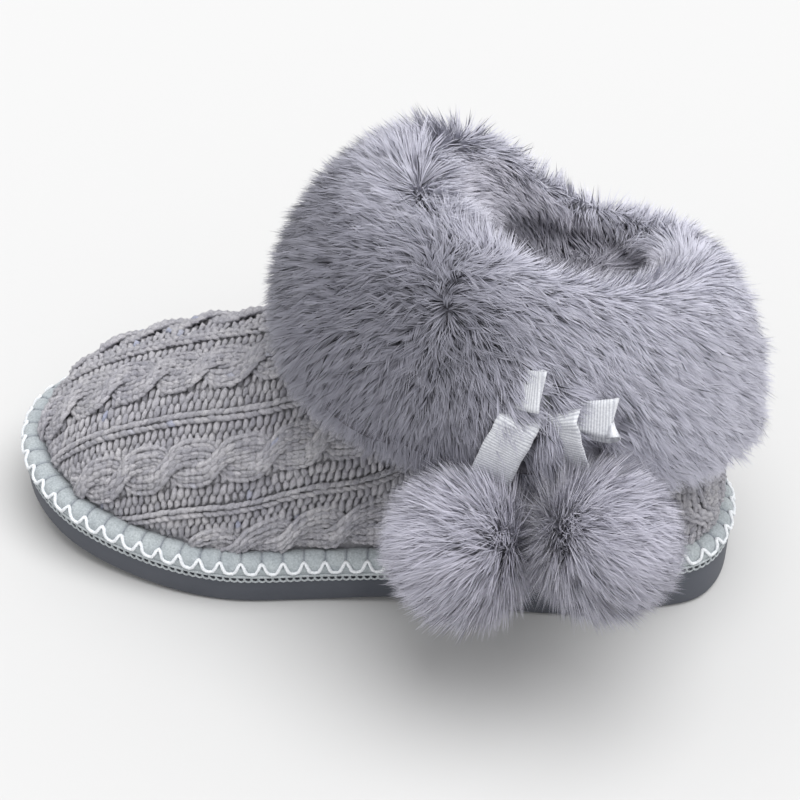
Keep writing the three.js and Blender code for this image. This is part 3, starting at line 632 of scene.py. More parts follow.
knit_quarter = make_piece("knit_quarter", points, faces, yarn, tint=tint)

# Insole. A flat pad of short grey fleece, cut to the inside of the shell and laid on its floor.
INSOLE_INSET = 10
PAD = 2.45  # half its thickness
fleece = plain_material(
    "grey_fleece", 1.0, (500, 6, 0.7), (0.10, 0.098, 0.115), (0.21, 0.205, 0.23), (0.6, 0.001)
)
line = outline_inset(INSOLE_INSET)
x = np.linspace(line[:, 0].min(), line[0, 0], 90)[:, None]
low_y, high_y = two_sides(line, x)
turn = np.linspace(0, 2 * np.pi, 40, endpoint=False)
across = np.sign(np.cos(turn)) * np.abs(np.cos(turn)) ** 0.25
level = np.sign(np.sin(turn)) * np.abs(np.sin(turn)) ** 0.6
y = (low_y + high_y) / 2 + (high_y - low_y) / 2 * across
pad = np.stack([x + 0 * across, y, rim_height(x) + CLEARANCE + 2.5 + PAD * level], -1)
insole = make_piece("insole_pad", pad.reshape(-1, 3), grid_faces(90, 40, close_columns=True), fleece)
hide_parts("insole")

# Binding. A padded fabric band sewn round the foot of the upper, drawn into soft puffs by its stitches.
# A white zigzag thread runs along it, and a small looped edging lies along the sole.
PUFF = 7.4  # from one drawing stitch to the next
ZIGZAG = 0.64  # half the thickness of the white thread
LOOP = 0.42  # half the thickness of the looped edging
CORD = 0.6  # half the thickness of the cord that it is looped round
perimeter = np.linalg.norm(np.roll(outline, -1, 0) - outline, axis=1).sum()
PUFFS = round(perimeter / PUFF)


def band_point(along, level, proud=0.0):
    """Points on the band, along it in puffs and from 0 at the sole's rim to 1 at the knit."""
    rows = [  # level, inset in band depths, height in band heights
        (0.0, 0.30, 0.0), (0.12, 0.0, 0.02), (0.25, -0.14, 0.2), (0.42, -0.20, 0.48),
        (0.58, -0.04, 0.76), (0.72, 0.22, 0.94), (0.86, 0.6, 1.0), (0.95, 0.95, 0.93), (1.0, 1.5, 0.6),
    ]
    inset = table_curve(level, rows, 1) * BAND_DEPTH - proud * np.cos(np.pi * (level - 0.35) / 1.4)
    height = table_curve(level, rows, 2) * BAND_HEIGHT + proud * np.sin(np.pi * (level - 0.35) / 1.4)
    goal = np.mod(along / PUFFS, 1.0) * perimeter
    closed = np.vstack([outline, outline[:1]])
    way = np.roll(outline, -3, 0) - np.roll(outline, 3, 0)
    out = unit(np.stack([-way[:, 1], way[:, 0]], 1))
    out = np.vstack([out, out[:1]])
    spot, way = (at_lengths(goal, run_along(closed), values) for values in (closed, out))
    spot = spot - inset[..., None] * way
    return np.concatenate([spot, (rim_height(spot[..., 0]) + CLEARANCE + height)[..., None]], -1)


band_cloth, tree, shader = new_material("band_cloth", 0.85)
shader.inputs["Sheen Weight"].default_value = 0.25
colour, weave = grained(tree, 1500, 3, dark=(0.32, 0.355, 0.37), light=(0.49, 0.53, 0.55))
# painted shade: the band's colour darkens in the crease where each stitch draws it in
groove_shade = [(0.0, (1.0, 1.0, 1.0)), (0.5, (0.86, 0.86, 0.88)), (1.0, (0.55, 0.55, 0.59))]
painted_shade = ramp(tree, attribute(tree, "drawn_in"), groove_shade)
patch, _ = grained(tree, 120, 3, dark=(0.85, 0.86, 0.88), low=0.35, high=0.65)
colour = multiplied(tree, multiplied(tree, colour, painted_shade), patch)
tree.links.new(colour, shader.inputs["Base Color"])
bump(tree, shader, weave, 0.5, 0.0005)

STEPS = 16
along = np.arange(PUFFS * STEPS)[:, None] / STEPS
level = np.linspace(0, 1, 17)[None]
cycle = np.mod(along, 1.0)
from_stitch = np.minimum(cycle, 1 - cycle) * PUFF
window = smooth(0.42, 0.58, level) * (1 - 0.5 * smooth(0.9, 1.0, level))
drawn_in = np.exp(-((from_stitch / 0.5) ** 2)) * window
puffed = 0.4 * np.sin(np.pi * cycle) ** 0.6 * window
points = band_point(along + 0 * level, level + 0 * along, puffed - 0.5 * drawn_in)
band = make_piece(
    "edge_band",
    points.reshape(-1, 3),
    grid_faces(PUFFS * STEPS, 17, close_rows=True),
    band_cloth,
    drawn_in=np.broadcast_to(drawn_in, points.shape[:2]),
)
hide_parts("binding")

white_thread = plain_material(
    "white_thread", 0.7, (2500, 2), (0.66, 0.69, 0.73), (0.95, 0.97, 0.99), (0.4, 0.0003)
)


def closed_thread(path, normals, radius, sides):
    """A round thread along one closed path."""
    run = unit(np.roll(path, -1, 0) - np.roll(path, 1, 0))
    across = unit(np.cross(run, normals))
    up = np.cross(across, run)
    angle = 2 * np.pi * np.arange(sides) / sides
    ring = across[:, None] * np.cos(angle)[:, None] + up[:, None] * np.sin(angle)[:, None]
    points = path[:, None] + radius * ring
    return points.reshape(-1, 3), grid_faces(len(path), sides, True, True)


def band_out(along, level):
    """Outward directions on the band."""
    a = band_point(along, level + 0.02) - band_point(along, level - 0.02)
    b = band_point(along + 0.05, level) - band_point(along - 0.05, level)
    return unit(np.cross(a, b))


t = np.arange(PUFFS * 18) / 18
peak = (0.5 + 0.5 * np.cos(2 * np.pi * t)) ** 2.4 + 0.08 * (0.5 - 0.5 * np.cos(4 * np.pi * t))
level = 0.34 + 0.28 * peak
path = band_point(t, level, 0.5)
points, faces = closed_thread(path, band_out(t, level), ZIGZAG, 5)
points = points + np.random.default_rng(15).normal(0, 0.07, points.shape)
zigzag = make_piece("zigzag_thread", points, faces, white_thread)

edging = plain_material(
    "edging_thread", 0.85, (2500, 2), (0.36, 0.39, 0.41), (0.58, 0.615, 0.635), (0.4, 0.0003)
)
t = np.arange(PUFFS * 24) / 24
curl = 2 * np.pi * 3 * t  # three loops a puff
path = band_point(t + 0.09 * np.sin(curl), 0.17 + 0 * t, 0.5)
path[:, 2] -= 1.2 + 1.15 * np.cos(curl)
points, faces = closed_thread(path, band_out(t, 0.1 + 0 * t), LOOP, 4)
cord = np.arange(PUFFS * 4) / 4
path = band_point(cord, 0.17 + 0 * cord, 0.35)
cord_points, cord_faces = closed_thread(path, band_out(cord, 0.2 + 0 * cord), CORD, 6)
loops = make_piece(
    "edge_loops", np.vstack([points, cord_points]), np.vstack([faces, cord_faces + len(points)]), edging
)

# Fur cuff. Long soft grey pile on a backing that folds down over the collar. Its section is read by
# direction from the leg's axis: 0 is the toe, 90 the outer side, 180 the heel.
CUFF_REACH = 106  # from the leg's axis to the front of the hem
CUFF_HEIGHT = 171
TURN_IN = 12  # how far the section goes into the collar
HEM = 14  # how far it turns in under the hem
BACKING = 8  # how far the backing lies under the surface that the pile makes
HAIR = 13.5  # length, a little less or more from hair to hair
MOUTH_HAIR = 13
MOUTH_HAIRS = 24000
CUFF = [  # turn; radius and height of the mouth, ridge, back, belly and hem, in reach and height
    (0, 0.25, 0.84, 0.52, 1.0, 0.8, 0.905, 0.985, 0.67, 0.965, 0.55),
    (24, 0.27, 0.83, 0.48, 0.975, 0.75, 0.875, 0.945, 0.66, 0.93, 0.53),
    (46, 0.27, 0.82, 0.4, 0.93, 0.59, 0.84, 0.775, 0.64, 0.77, 0.49),
    (68, 0.26, 0.81, 0.33, 0.88, 0.47, 0.8, 0.625, 0.62, 0.62, 0.46),
    (92, 0.25, 0.8, 0.31, 0.86, 0.43, 0.78, 0.57, 0.6, 0.57, 0.45),
    (125, 0.24, 0.79, 0.33, 0.835, 0.45, 0.765, 0.57, 0.57, 0.57, 0.43),
    (155, 0.24, 0.78, 0.36, 0.81, 0.48, 0.745, 0.58, 0.53, 0.57, 0.38),
    (180, 0.24, 0.77, 0.37, 0.795, 0.5, 0.735, 0.61, 0.5, 0.6, 0.35),
    (205, 0.24, 0.74, 0.35, 0.77, 0.47, 0.715, 0.56, 0.53, 0.55, 0.38),
    (235, 0.25, 0.71, 0.33, 0.75, 0.44, 0.7, 0.54, 0.56, 0.54, 0.42),
    (268, 0.27, 0.71, 0.32, 0.755, 0.41, 0.7, 0.53, 0.57, 0.53, 0.44),
    (292, 0.27, 0.75, 0.34, 0.81, 0.45, 0.745, 0.58, 0.6, 0.58, 0.46),
    (314, 0.27, 0.79, 0.4, 0.9, 0.56, 0.81, 0.72, 0.63, 0.72, 0.49),
    (336, 0.27, 0.83, 0.48, 0.965, 0.74, 0.865, 0.92, 0.66, 0.91, 0.53),
    (360, 0.25, 0.84, 0.52, 1.0, 0.8, 0.905, 0.985, 0.67, 0.965, 0.55),
]
TURNS, SHARES = 240, 160  # directions, and steps round each section


def cuff_section(turn):
    """The closed section at one direction as radius and height, in even steps from inside the collar
    up over the ridge and down to the hem."""
    radius = [table_curve(turn, CUFF, column) * CUFF_REACH for column in (1, 3, 5, 7, 9)]
    height = [table_curve(turn, CUFF, column) * CUFF_HEIGHT for column in (2, 4, 6, 8, 10)]
    knots = [(radius[0] - TURN_IN, COLLAR_HEIGHT - 1.6 * TURN_IN)]
    knots += [(radius[0], COLLAR_HEIGHT - 0.4 * TURN_IN), *zip(radius, height)]
    knots += [(radius[4] - HEM, height[4] + 0.6 * HEM)]
    line = closed_curve(knots, 30)
    line = np.vstack([line, line[:1]])
    run = run_along(line)
    return at_lengths(np.linspace(0, run[-1], SHARES, endpoint=False), run, line)


turns = np.arange(TURNS) * 360 / TURNS
sections = np.stack([cuff_section(turn) for turn in turns])
away = np.stack([-np.cos(np.radians(turns)), -np.sin(np.radians(turns))], 1)
cuff = np.concatenate([sections[..., :1] * away[:, None] + [LEG_X, LEG_Y], sections[..., 1:]], -1)


def ring_difference(grid, axis):
    return (np.roll(grid, -1, axis) - np.roll(grid, 1, axis)) / 2


cuff_round, cuff_down = ring_difference(cuff, 0), ring_difference(cuff, 1)
cuff_out = unit(np.cross(cuff_round, cuff_down))
if cuff_out[0, SHARES // 2, 0] > 0:
    cuff_out = -cuff_out
backing = cuff - BACKING * cuff_out

# painted shade: the backing is dark so that the pile looks shaded deep among its roots
backing_painted_shade = plain_material(
    "cuff_backing", 1.0, (300, 5), (0.07, 0.068, 0.082), (0.16, 0.155, 0.185), (0.8, 0.002)
)
faces = grid_faces(TURNS // 3, SHARES // 4, True, True)
cuff_backing = make_piece("cuff_backing", backing[::3, ::4].reshape(-1, 3), faces, backing_painted_shade)
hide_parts("fur_cuff")


# the colour of a hair: from root to tip along it, darker at the root as painted shade deep in the pile, and a
# little different from hair to hair
hair, given = node_group("hair", {"Root": "Color", "Middle": "Color", "Tip": "Color"}, {"Colour": "Color"})
along = attribute(hair, "along")
colour = given["Root"]
for low, high, name in ((0.0, 0.42, "Middle"), (0.42, 1.0, "Tip")):
    share = wire(hair, "ShaderNodeMapRange", {"Value": along, "From Min": low, "From Max": high})
    inputs = {0: share.outputs["Result"], 6: colour, 7: given[name]}
    colour = wire(hair, "ShaderNodeMix", inputs, data_type="RGBA").outputs[2]
tint = ramp(hair, attribute(hair, "tint"), [(0.1, (0.80, 0.80, 0.82)), (0.9, (1.08, 1.075, 1.07))])
wire(hair, "NodeGroupOutput", {"Colour": multiplied(hair, colour, tint)})


def fur_material(name, root, middle, tip):
    """Soft pile, painted dark at the roots as the shade deep in the pile, and light at the tips."""
    made, tree, shader = new_material(name, 0.75)
    shader.inputs["Specular IOR Level"].default_value = 0.25
    shader.inputs["Sheen Weight"].default_value = 0.3
    inputs = {"Root": (*root, 1), "Middle": (*middle, 1), "Tip": (*tip, 1)}
    node = wire(tree, "ShaderNodeGroup", inputs, node_tree=hair)
    tree.links.new(node.outputs["Colour"], shader.inputs["Base Color"])
    return made


def nearest(points, centres):
    """The number of the nearest centre to each point."""
    tree = kdtree.KDTree(len(centres))
    for i, centre in enumerate(centres):
        tree.insert(centre, i)
    tree.balance()
    return np.array([tree.find(point)[1] for point in points])


def pile(roots, facing, flow, length, lift, rng, locks, gather=0.5, width=0.42, tousled=0.3, painted_shade=0):
    """Curved, tapering hairs that gather into locks: points, faces, normals, and the place along each
    hair and tint of each point. Flow is the way the pile lies, lift how far it stands, and the last how far
    its tips keep the dark root colour as painted shade, 0 to 1; below 0 lightens them as a painted highlight."""
    count = len(roots)
    centres = rng.choice(count, count // locks, replace=False)
    lead = centres[nearest(roots, roots[centres])]
    across_flow = unit(np.cross(facing, flow))
    stray = rng.normal(0, 0.14, (count, 1)) + rng.normal(0, tousled, count)[lead][:, None]
    way = unit(flow + stray * across_flow)
    lift = np.clip(lift + rng.normal(0, 0.07, count)[lead], 0.05, 0.97)[:, None]
    length = (length * rng.uniform(0.88, 1.12, count)[lead])[:, None]
    start = unit(way * (1 - lift) + facing * (lift + 0.30))
    end = unit(way * (1.15 - lift) + facing * (lift - 0.14) + [0, 0, -0.10])
    middle = roots + start * length * 0.5
    tips = middle + end * length * 0.55
    pull = gather * rng.uniform(0.5, 1.0, (count, 1))
    tips = tips * (1 - pull) + (tips[lead] + 0.35 * (roots - roots[lead])) * pull
    middle = middle * (1 - 0.3 * pull) + (middle[lead] + 0.7 * (roots - roots[lead])) * 0.3 * pull
    line = np.stack([roots, (roots + 2 * middle + tips) / 4, tips], 1)
    run = unit(np.gradient(line, axis=1))
    spin = unit(facing + rng.normal(0, 0.45, (count, 3)))
    across = unit(np.cross(run, spin[:, None]))
    half = 0.5 * width * np.array([1.0, 0.85])[None, :, None] * rng.uniform(0.7, 1.3, (count, 1, 1))
    left = line[:, :2] - across[:, :2] * half
    right = line[:, :2] + across[:, :2] * half
    points = np.concatenate([np.stack([left, right], 2).reshape(count, 4, 3), line[:, 2:]], 1)
    corners = np.array([[0, 1, 2], [1, 3, 2], [2, 3, 4]])
    faces = (corners[None] + 5 * np.arange(count)[:, None, None]).reshape(-1, 3)
    along = np.outer(1 - np.broadcast_to(painted_shade, count), [0, 0, 0.5, 0.5, 1.0]).ravel()
    tint = np.repeat(0.65 * rng.random(count)[lead] + 0.35 * rng.random(count), 5)
    edge = [0, 0, 1, 1, 2]
    normals = unit(facing[:, None] + 0.3 * np.cross(across[:, edge], run[:, edge]))
    return points.reshape(-1, 3), faces, normals.reshape(-1, 3), along, tint


def make_pile(name, made, finish):
    """A piece from what pile() gives."""
    points, faces, normals, along, tint = made
    hairs = make_piece(name, points, faces, finish, along=along, tint=tint)
    hairs.data.normals_split_custom_set_from_vertices(normals.astype(np.float32))
    return hairs


cuff_fur = fur_material("cuff_fur", (0.25, 0.25, 0.295), (0.44, 0.44, 0.515), (0.68, 0.68, 0.775))

ridge = cuff[..., 2].argmax(1)
hem = cuff[..., 2].argmin(1)
share = np.arange(SHARES)[None]
past_ridge = (share - ridge[:, None]) / (hem - ridge)[:, None]  # 0 on the ridge, 1 at the hem
WHORL_TURN, WHORL_PART = 48, 0.38  # turn and part of the way down where the pile parts
BEDS = [  # turn and height at both ends of the flattened pile under the ribbons
    (82.5, 118, 84.5, 119), (100, 111, 108, 109), (78.5, 106, 71, 84), (95, 108, 99, 90),
]
BED_WIDE = 5.8  # half the width of such a bed
area = np.linalg.norm(np.cross(cuff_round, cuff_down), axis=-1)
a = round(WHORL_TURN / 360 * TURNS)
whorl = cuff[a, round(ridge[a] + WHORL_PART * (hem[a] - ridge[a]))]


def cuff_pile(count, low, high, turn_from, turn_to, length, width, seed):
    """Pile between two parts of the way down the cuff and two turns."""
    rng = np.random.default_rng(seed)
    inside = (past_ridge > low) & (past_ridge < high)
    inside &= ((turns >= turn_from) & (turns < turn_to))[:, None]
    weight = (area * inside).ravel()
    cell = rng.choice(weight.size, count, p=weight / weight.sum())
    i = cell // SHARES + rng.uniform(-0.5, 0.5, count)
    j = cell % SHARES + rng.uniform(-0.5, 0.5, count)
    a, b = np.mod(np.round(i).astype(int), TURNS), np.clip(np.round(j).astype(int), 0, SHARES - 1)
    down, sideways = unit(cuff_down[a, b]), unit(cuff_round[a, b])
    c = np.clip(np.floor(j).astype(int), 0, SHARES - 2)
    f = (j - c)[:, None]
    out = unit(cuff_out[a, c] * (1 - f) + cuff_out[a, c + 1] * f)
    spot = cuff[a, c] * (1 - f) + cuff[a, c + 1] * f + cuff_round[a, b] * (i - np.round(i))[:, None]
    part = past_ridge[a, b]
    # under the hem the roots stay behind those of the face above
    tucked = BACKING * smooth(-0.1, -0.7, out[:, 2]) * (part > 0.5)
    roots = spot - (BACKING - 0.3) * out - tucked[:, None] * unit((spot - [LEG_X, LEG_Y, 0]) * [1, 1, 0])
    away = spot - whorl
    gap = np.linalg.norm(away, axis=1)
    # round the whorl the hairs lie away from it, on the outer side towards the heel, elsewhere down
    radial = unit(away - (away * out).sum(1)[:, None] * out)
    pull = np.exp(-((gap / 38) ** 2)) * smooth(-0.08, 0.2, part) * (1 - 0.9 * np.exp(-((gap / 11) ** 2)))
    wave = np.sin(spot[:, 0] / 5 + 2.1 * np.sin(spot[:, 2] / 8)) + np.sin(spot[:, 1] / 5 + spot[:, 2] / 7)
    heelward = unit(np.array([1.0, 0, 0]) - out[:, :1] * out)
    sweep = smooth(52, 80, np.degrees(np.arctan2(LEG_Y - spot[:, 1], LEG_X - spot[:, 0])))
    sweep = sweep * (spot[:, 1] < 0) * 0.8
    flow = down * (1.35 * smooth(-0.25, 0.25, part) - 0.6)[:, None] + heelward * sweep[:, None]
    flow = unit(flow + 1.8 * radial * pull[:, None] + 0.25 * wave[:, None] * sideways)
    turn = turns[a]
    # the front face stands up more and its tips are painted darker as shade, the hem lies flatter, the far
    # ridge is shorter
    front = (1 - smooth(52, 88, np.minimum(turn, 360 - turn))) * smooth(0.05, 0.35, part)
    lift = 0.52 + 0.14 * np.exp(-((part / 0.16) ** 2)) + 0.16 * front
    lift = lift + rng.normal(0, 0.06, count) - 0.16 * smooth(0.6, 1.0, part)
    long = length * rng.uniform(0.7, 1.15, count)
    long = long * (1 - 0.30 * smooth(-0.05, -0.35, part)) * (1 - 0.12 * front)
    far_side = smooth(150, 180, turn) * (1 - smooth(320, 345, turn))
    long = long * (1 - 0.18 * far_side * np.exp(-((part / 0.3) ** 2)))
    for t0, z0, t1, z1 in BEDS:
        way = np.array([(t1 - t0) * 1.2, z1 - z0])
        place = np.stack([(turn - t0) * 1.2, spot[:, 2] - z0], 1)
        along = np.clip(place @ way / (way @ way), 0, 1)
        flat = np.linalg.norm(place - along[:, None] * way, axis=1) < BED_WIDE
        long = np.where(flat, long * 0.5, long)
        lift = np.where(flat, 0.2, lift)
    deep = smooth(-0.2, -0.6, part)
    tousled = 0.34 + 0.22 * front + 0.3 * deep + 0.7 * np.exp(-(((gap - 6) / 15) ** 2))
    on_ridge = np.exp(-(((part + 0.02) / 0.2) ** 2)) * smooth(35, 75, np.minimum(turn, 360 - turn))
    # painted shade on the front face, which is turned from the light, and deep in the mouth; a painted
    # highlight on the ridge over the peak
    painted_shade = 0.76 * front - 0.3 * on_ridge + 0.5 * deep
    return pile(roots, out, flow, long, lift, rng, 11, 0.3, width, tousled, painted_shade)


PATCHES = [  # name, first and last turn, hairs and seed
    ("front", 0, 60, 38000, 21), ("outer", 60, 150, 36000, 22),
    ("back", 150, 245, 23000, 23), ("inner", 245, 360, 29000, 24),
]
for name, turn_from, turn_to, count, seed in PATCHES:
    made = cuff_pile(count, -0.12, 0.97, turn_from, turn_to, HAIR, 0.38, seed)
    make_pile(f"cuff_fur_{name}", made, cuff_fur)
mouth_fur = fur_material("mouth_fur", (0.24, 0.238, 0.28), (0.44, 0.435, 0.50), (0.64, 0.63, 0.715))
made = cuff_pile(MOUTH_HAIRS, -1.0, -0.10, 0, 360, MOUTH_HAIR, 0.45, 25)
make_pile("cuff_fur_mouth", made, mouth_fur)

# Lining. Short dense grey pile on the inner face of the shell, denser near the collar, seen down
# through the mouth.
LINING_FROM, LINING_TO = 26, 12  # over the floor, and below the collar's plane
LINING_HAIRS = 9000
STATIONS = 121
form = foot_form(WALL, STATIONS, STATIONS)
form_out = surface_normals(form)
rng = np.random.default_rng(31)
height = form[..., 2]
wanted = (form[..., 0] > -80) & (height < collar_plane(form[..., 0]) - LINING_TO) & (height > LINING_FROM)
likely = (wanted * (1 + 9 * smooth(70, 100, height))).ravel()
cell = rng.choice(likely.size, LINING_HAIRS, p=likely / likely.sum())
i, j = cell // STATIONS, cell % STATIONS
roots = lie(form, i + rng.uniform(-0.5, 0.5, len(i)), j + rng.uniform(-0.5, 0.5, len(j)))
inward = -form_out[i, j]
flow = unit(np.cross(inward, [0, 0, 1.0]) * rng.normal(0, 0.5, (len(i), 1)) + [0, 0, -0.8])
long, lift = rng.uniform(6, 9, len(i)), rng.uniform(0.35, 0.7, len(i))
made = pile(roots, inward, flow, long, lift, rng, 18, width=0.6)
make_pile("lining_pile", made, mouth_fur)

# Fur balls. Two round tufts of the same pile on small cores, side by side against the cuff and the
# upper, each hung from its ribbon. Their hairs are combed away from each other.
BALLS = [  # name, turn, height, reach from the leg's axis, radius
    ("front", 70, 66, 83, 26),
    ("back", 102.5, 77.5, 83, 25),
]
CORE = 0.62  # radius of a ball's core, in radii of the ball
BALL_HAIRS = 24000
MEETING = 9  # how far the hairs reach past the middle between the balls
ball_fur = fur_material("ball_fur", (0.32, 0.317, 0.37), (0.46, 0.455, 0.525), (0.64, 0.635, 0.725))
middles = []
for name, turn, height, reach_out, radius in BALLS:
    angle = math.radians(turn)
    x, y = LEG_X - reach_out * math.cos(angle), LEG_Y - reach_out * math.sin(angle)
    middles.append(np.array([x, y, height]))
between = middles[0] + (middles[1] - middles[0]) * BALLS[0][4] / (BALLS[0][4] + BALLS[1][4])
for k, (name, turn, height, reach_out, radius) in enumerate(BALLS):
    middle = middles[k]
    bpy.ops.mesh.primitive_ico_sphere_add(subdivisions=4, radius=0.001 * radius * CORE)
    core = bpy.context.object
    core.name = f"ball_core_{name}"
    spots = np.empty(len(core.data.vertices) * 3)
    core.data.vertices.foreach_get("co", spots)
    core.data.vertices.foreach_set("co", (spots.reshape(-1, 3) + middle * 0.001).ravel())
    bpy.ops.object.shade_smooth()
    # painted shade: the core takes the pile's dark root colour, as the shade deep inside the ball
    core.data.materials.append(ball_fur)
    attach(core, "root")
    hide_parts(f"fur_ball_{name}")
    rng = np.random.default_rng(41 + k)
    out = unit(rng.normal(0, 1, (BALL_HAIRS, 3)))
    roots = middle + out * radius * rng.uniform(0.58, 0.66, (BALL_HAIRS, 1))
    combed = np.array([(-1.0, 1.0)[k], -0.12, -0.1])
    flow = combed - (out @ combed)[:, None] * out + rng.normal(0, 0.12, (BALL_HAIRS, 3))
    flow = unit(flow - (flow * out).sum(1)[:, None] * out)
    long = radius * rng.uniform(0.48, 0.76, BALL_HAIRS)
    wall = unit(middles[1 - k] - middle)
    facing_wall = (out * wall).sum(1)
    room = ((between - middle) * wall).sum() + MEETING
    free = room / np.maximum(facing_wall, 0.3) - 0.6 * radius
    long = np.minimum(long, np.where(facing_wall > 0.3, free, long))
    long = np.maximum(long * (1 - 0.2 * np.maximum(-facing_wall, 0)), 4)
    lift = rng.uniform(0.3, 0.58, BALL_HAIRS)
    tousled = 0.35 + 1.2 * np.exp(-(1 + out @ unit(combed)) / 0.12)  # most where the pile parts
    made = pile(roots, out, flow, long, lift, rng, 13, 0.35, 0.40, tousled)
    make_pile(f"ball_fur_{name}", made, ball_fur)

# Bow. Silver-grey grosgrain ribbon, ribbed across, tied over a small knot into two flat loops on the
# cuff, with two tails that run down into the fur balls and some of the cuff's pile over it.
RIBBON = 14
RIB = 0.95  # from one rib to the next
THICK = 0.9
grosgrain, tree, shader = new_material("silver_grosgrain", 0.42)
shader.inputs["Sheen Weight"].default_value = 0.2
shader.inputs["Specular IOR Level"].default_value = 0.55
colour, weft = grained(tree, 1600, 3, dark=(0.56, 0.575, 0.61), light=(0.76, 0.775, 0.81))
# painted shade: the ribbon's colour darkens in the hollows between the ribs
painted_shade = ramp(tree, attribute(tree, "rib"), [(0.0, (0.62, 0.62, 0.66)), (0.7, (1.0, 1.0, 1.0))])
tree.links.new(multiplied(tree, colour, painted_shade), shader.inputs["Base Color"])
bump(tree, shader, weft, 0.3, 0.0002)


def outer_spot(turn, height, proud):
    """The cuff's outer face at a turn and a height, or over it: point, out, down."""
    i = round(turn / 360 * TURNS) % TURNS
    span = np.arange(ridge[i], hem[i] + 1)
    lower = cuff[i, span, 2] < height
    j = span[np.argmax(lower)] if lower.any() else span[-1]
    return cuff[i, j] + proud * cuff_out[i, j], cuff_out[i, j], unit(cuff_down[i, j])


def smoothed(path, times):
    """A path with its corners taken off, its ends kept."""
    for _ in range(times):
        path[1:-1] = (path[:-2] + 2 * path[1:-1] + path[2:]) / 4
    return path


def ahead_of(out, down):
    """The way along the surface towards the heel, across a downward direction."""
    ahead = unit(np.cross(out, down))
    return ahead if ahead[0] > 0 else -ahead


def ribbon(name, path, across, node, width=RIBBON):
    """A ribbed ribbon along a path, its width along given directions, one width or one a point."""
    run = run_along(path)
    count = int(run[-1] / RIB * 4)
    goal = np.linspace(0, run[-1], count)
    line, wide = (at_lengths(goal, run, values) for values in (path, across))
    half = np.interp(goal, run, np.broadcast_to(width, len(path))) / 2
    wide = unit(wide)
    flat = unit(np.cross(np.gradient(line, axis=0), wide))
    wide = unit(np.cross(flat, np.gradient(line, axis=0)))
    wave = 0.5 + 0.5 * np.cos(2 * np.pi * goal / RIB)
    side = np.linspace(-1, 1, 9)
    skin = 0.35 * THICK + 0.16 * wave[:, None] * (1 - side[None] ** 8)
    edge = 1 + 0.012 * wave[:, None]
    face = line[:, None] + wide[:, None] * (side[None] * half[:, None] * edge)[..., None]
    top, bottom = (face + turn * flat[:, None] * skin[..., None] for turn in (1, -1))
    ring = np.concatenate([top, bottom[:, ::-1]], 1)
    faces = grid_faces(count, 18, close_columns=True)
    made = make_piece(name, ring.reshape(-1, 3), faces, grosgrain, rib=np.repeat(wave, 18))
    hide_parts(node)
    return made


LOOPS = [  # name; turn and height of the fold's corners, reach, slope, droop and narrow end of the loop
    ("front", (84, 125), (82, 112), 9.5, 0.22, 0.0, 0.9),
    ("back", (108, 116), (105, 104), 18, 0.17, 2.4, 0.5),
]
for name, upper, lower, reach_out, slope, droop, narrow in LOOPS:
    top, out, _ = outer_spot(*upper, 3.5)
    foot, _, _ = outer_spot(*lower, 3.5)
    down = unit(foot - top - ((foot - top) @ out) * out)
    ahead = unit(ahead_of(out, down) - slope * down)
    fold = (top + foot) / 2
    # over the front from inside the pile, round the fold and back along the pile
    front = [(-1.0, -6.0), (-0.8, -3.2), (-0.5, -0.2), (-0.2, 2.3), (-0.06, 2.9), (0.0, 1.9)]
    rear = [(-0.04, 0.5), (-0.2, -0.6), (-0.5, -2.4), (-0.8, -4.4), (-1.0, -7.0)]
    path = np.array([fold + ahead * reach_out * a + out * o for a, o in front + rear])
    path[len(front):] += down * droop
    path = smoothed(at_lengths(np.linspace(0, 1, 90), np.linspace(0, 1, len(path)), path), 14)
    from_fold = np.clip(((fold - path) @ ahead) / reach_out, 0, 1)
    breadth = RIBBON * (1 + (narrow - 1) * from_fold)
    ribbon(f"bow_loop_{name}", path, np.tile(down, (len(path), 1)), f"ribbon_loop_{name}", breadth)

# name, how far its edge dips into the pile, and its middle line from the bow down into its ball, as
# turns and heights
TAILS = [
    ("front", 0.12, [(79, 113), (78, 110), (76.3, 105), (73.8, 97), (71.3, 88), (70, 78)]),
    ("back", 0.95, [(89, 116), (89.5, 112), (91, 107), (93, 100), (95.5, 92), (98, 82)]),
]
for name, dip, line in TAILS:
    fine = np.linspace(0, 1, 40)
    turn, height = at_lengths(fine, np.linspace(0, 1, len(line)), np.array(line, float)).T
    proud = -7 + 10.5 * smooth(0.0, 0.3, fine) + 0.8 * np.sin(3 * fine)
    found = [outer_spot(*spot) for spot in zip(turn, height, proud)]
    path = smoothed(np.array([spot for spot, out, down in found]), 6)
    out = np.array([out for spot, out, down in found])
    across = unit(np.cross(np.gradient(path, axis=0), out))
    across = across * np.sign(across[:, :1])
    ribbon(f"bow_tail_{name}", path, across + dip * out, f"ribbon_tail_{name}")

# pile of the cuff that lies over the ribbons, so that they look tied into it
rng = np.random.default_rng(51)
OVER = [  # turn, height, their spreads, hairs and how far down the pile over the ribbon lies
    (76.5, 118, 1.7, 5.0, 700, 0.5), (73.5, 107, 1.4, 4.5, 450, 1.2),
    (91.5, 114, 1.6, 4.0, 600, 0.35), (87.5, 103, 1.3, 7.5, 700, 1.9),
]
roots, outs, flows = [], [], []
for turn, height, wide, tall, count, fall in OVER:
    for _ in range(count):
        at = rng.normal(turn, wide), rng.normal(height, tall)
        spot, out, down = outer_spot(*at, rng.uniform(-1.0, 0.5))
        roots.append(spot + rng.normal(0, 0.6, 3))
        outs.append(out)
        flows.append(unit(ahead_of(out, down) + fall * down))
roots, outs, flows = (np.array(values) for values in (roots, outs, flows))
long, lift = rng.uniform(6, 11.5, len(roots)), rng.uniform(0.22, 0.42, len(roots))
made = pile(roots, outs, flows, long, lift, rng, 11, 0.3, 0.38, 0.3, 0.15)
make_pile("cuff_fur_over_bow", made, cuff_fur)
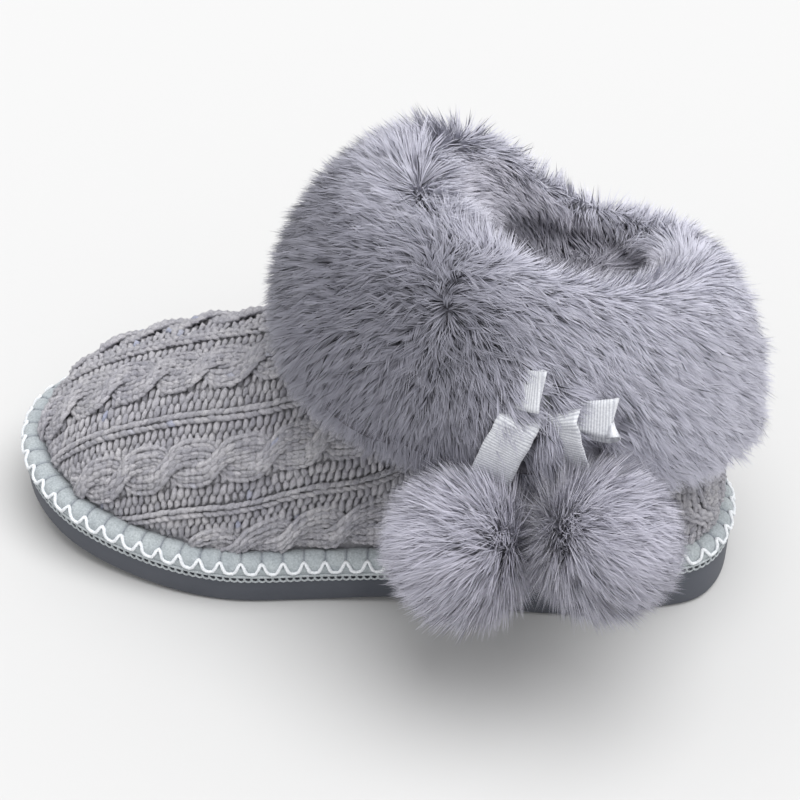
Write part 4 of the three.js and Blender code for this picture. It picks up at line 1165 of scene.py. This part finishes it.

# the knot, a small plump pad under the loops, darkened in stripes along its length by the ribbon's painted
# shade between ribs
rows = []
turn = np.linspace(0, 2 * np.pi, 16, endpoint=False)[:, None]
for part in np.linspace(0, 1, 24):
    spot, out, down = outer_spot(73 + 15 * part, 117 - 6 * part, -5)
    plump = 1.0 - 0.25 * abs(2 * part - 1) ** 3
    rows.append(spot + plump * (1.3 * np.cos(turn) * out + 3.5 * np.sin(turn) * down))
knot = make_piece(
    "bow_knot", np.concatenate(rows), grid_faces(24, 16, close_columns=True), grosgrain,
    rib=np.tile(0.5 + 0.5 * np.cos(np.arange(16) * 3.0), 24),
)
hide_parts("ribbon_knot")

# Floor, light and camera. A plain pale floor under a white studio and one large soft light from above,
# a little from the heel and the outer side. The camera looks at the outer side from well above.
FLOOR_GREY = 0.615
WORLD_STRENGTH = 0.80
KEY_STRENGTH = 2.45
KEY_SPREAD = 55  # degrees
KEY_RAYS = (-0.25, 0.12, -1.0)
LOOK_AT = (-0.07792, 0, 0.06033)
DISTANCE = 1.1664
LENS = 149.5
TURN, TILT = 8.3, 41.28  # of the camera, in degrees from the outer side to the heel and up
paper, tree, shader = new_material("pale_floor", 0.9)
shader.inputs["Base Color"].default_value = (FLOOR_GREY, FLOOR_GREY, FLOOR_GREY, 1)
shader.inputs["Specular IOR Level"].default_value = 0.0
bpy.ops.mesh.primitive_plane_add(size=12)
floor = bpy.context.object
floor.name = "floor"
floor.data.materials.append(paper)

world = bpy.data.worlds.new("studio")
bpy.context.scene.world = world
world.use_nodes = True
background = world.node_tree.nodes["Background"]
background.inputs["Color"].default_value = (1, 1, 1, 1)
background.inputs["Strength"].default_value = WORLD_STRENGTH
sun = bpy.data.objects.new("key", bpy.data.lights.new("key", "SUN"))
bpy.context.scene.collection.objects.link(sun)
sun.data.energy = KEY_STRENGTH
sun.data.angle = math.radians(KEY_SPREAD)
sun.rotation_euler = Vector(KEY_RAYS).to_track_quat("-Z", "Y").to_euler()

camera = bpy.data.objects.new("camera", bpy.data.cameras.new("camera"))
bpy.context.scene.collection.objects.link(camera)
camera.data.lens = LENS
camera.data.sensor_width = 36
camera.data.clip_start = 0.05
camera.data.clip_end = 20
turn, tilt = math.radians(TURN), math.radians(TILT)
back = Vector((math.sin(turn) * math.cos(tilt), -math.cos(turn) * math.cos(tilt), math.sin(tilt)))
camera.location = Vector(LOOK_AT) + DISTANCE * back
camera.rotation_mode = "QUATERNION"
camera.rotation_quaternion = (-back).to_track_quat("-Z", "Y")
bpy.context.scene.camera = camera
bpy.context.scene.view_settings.view_transform = "Standard"

bpy.context.view_layer.update()
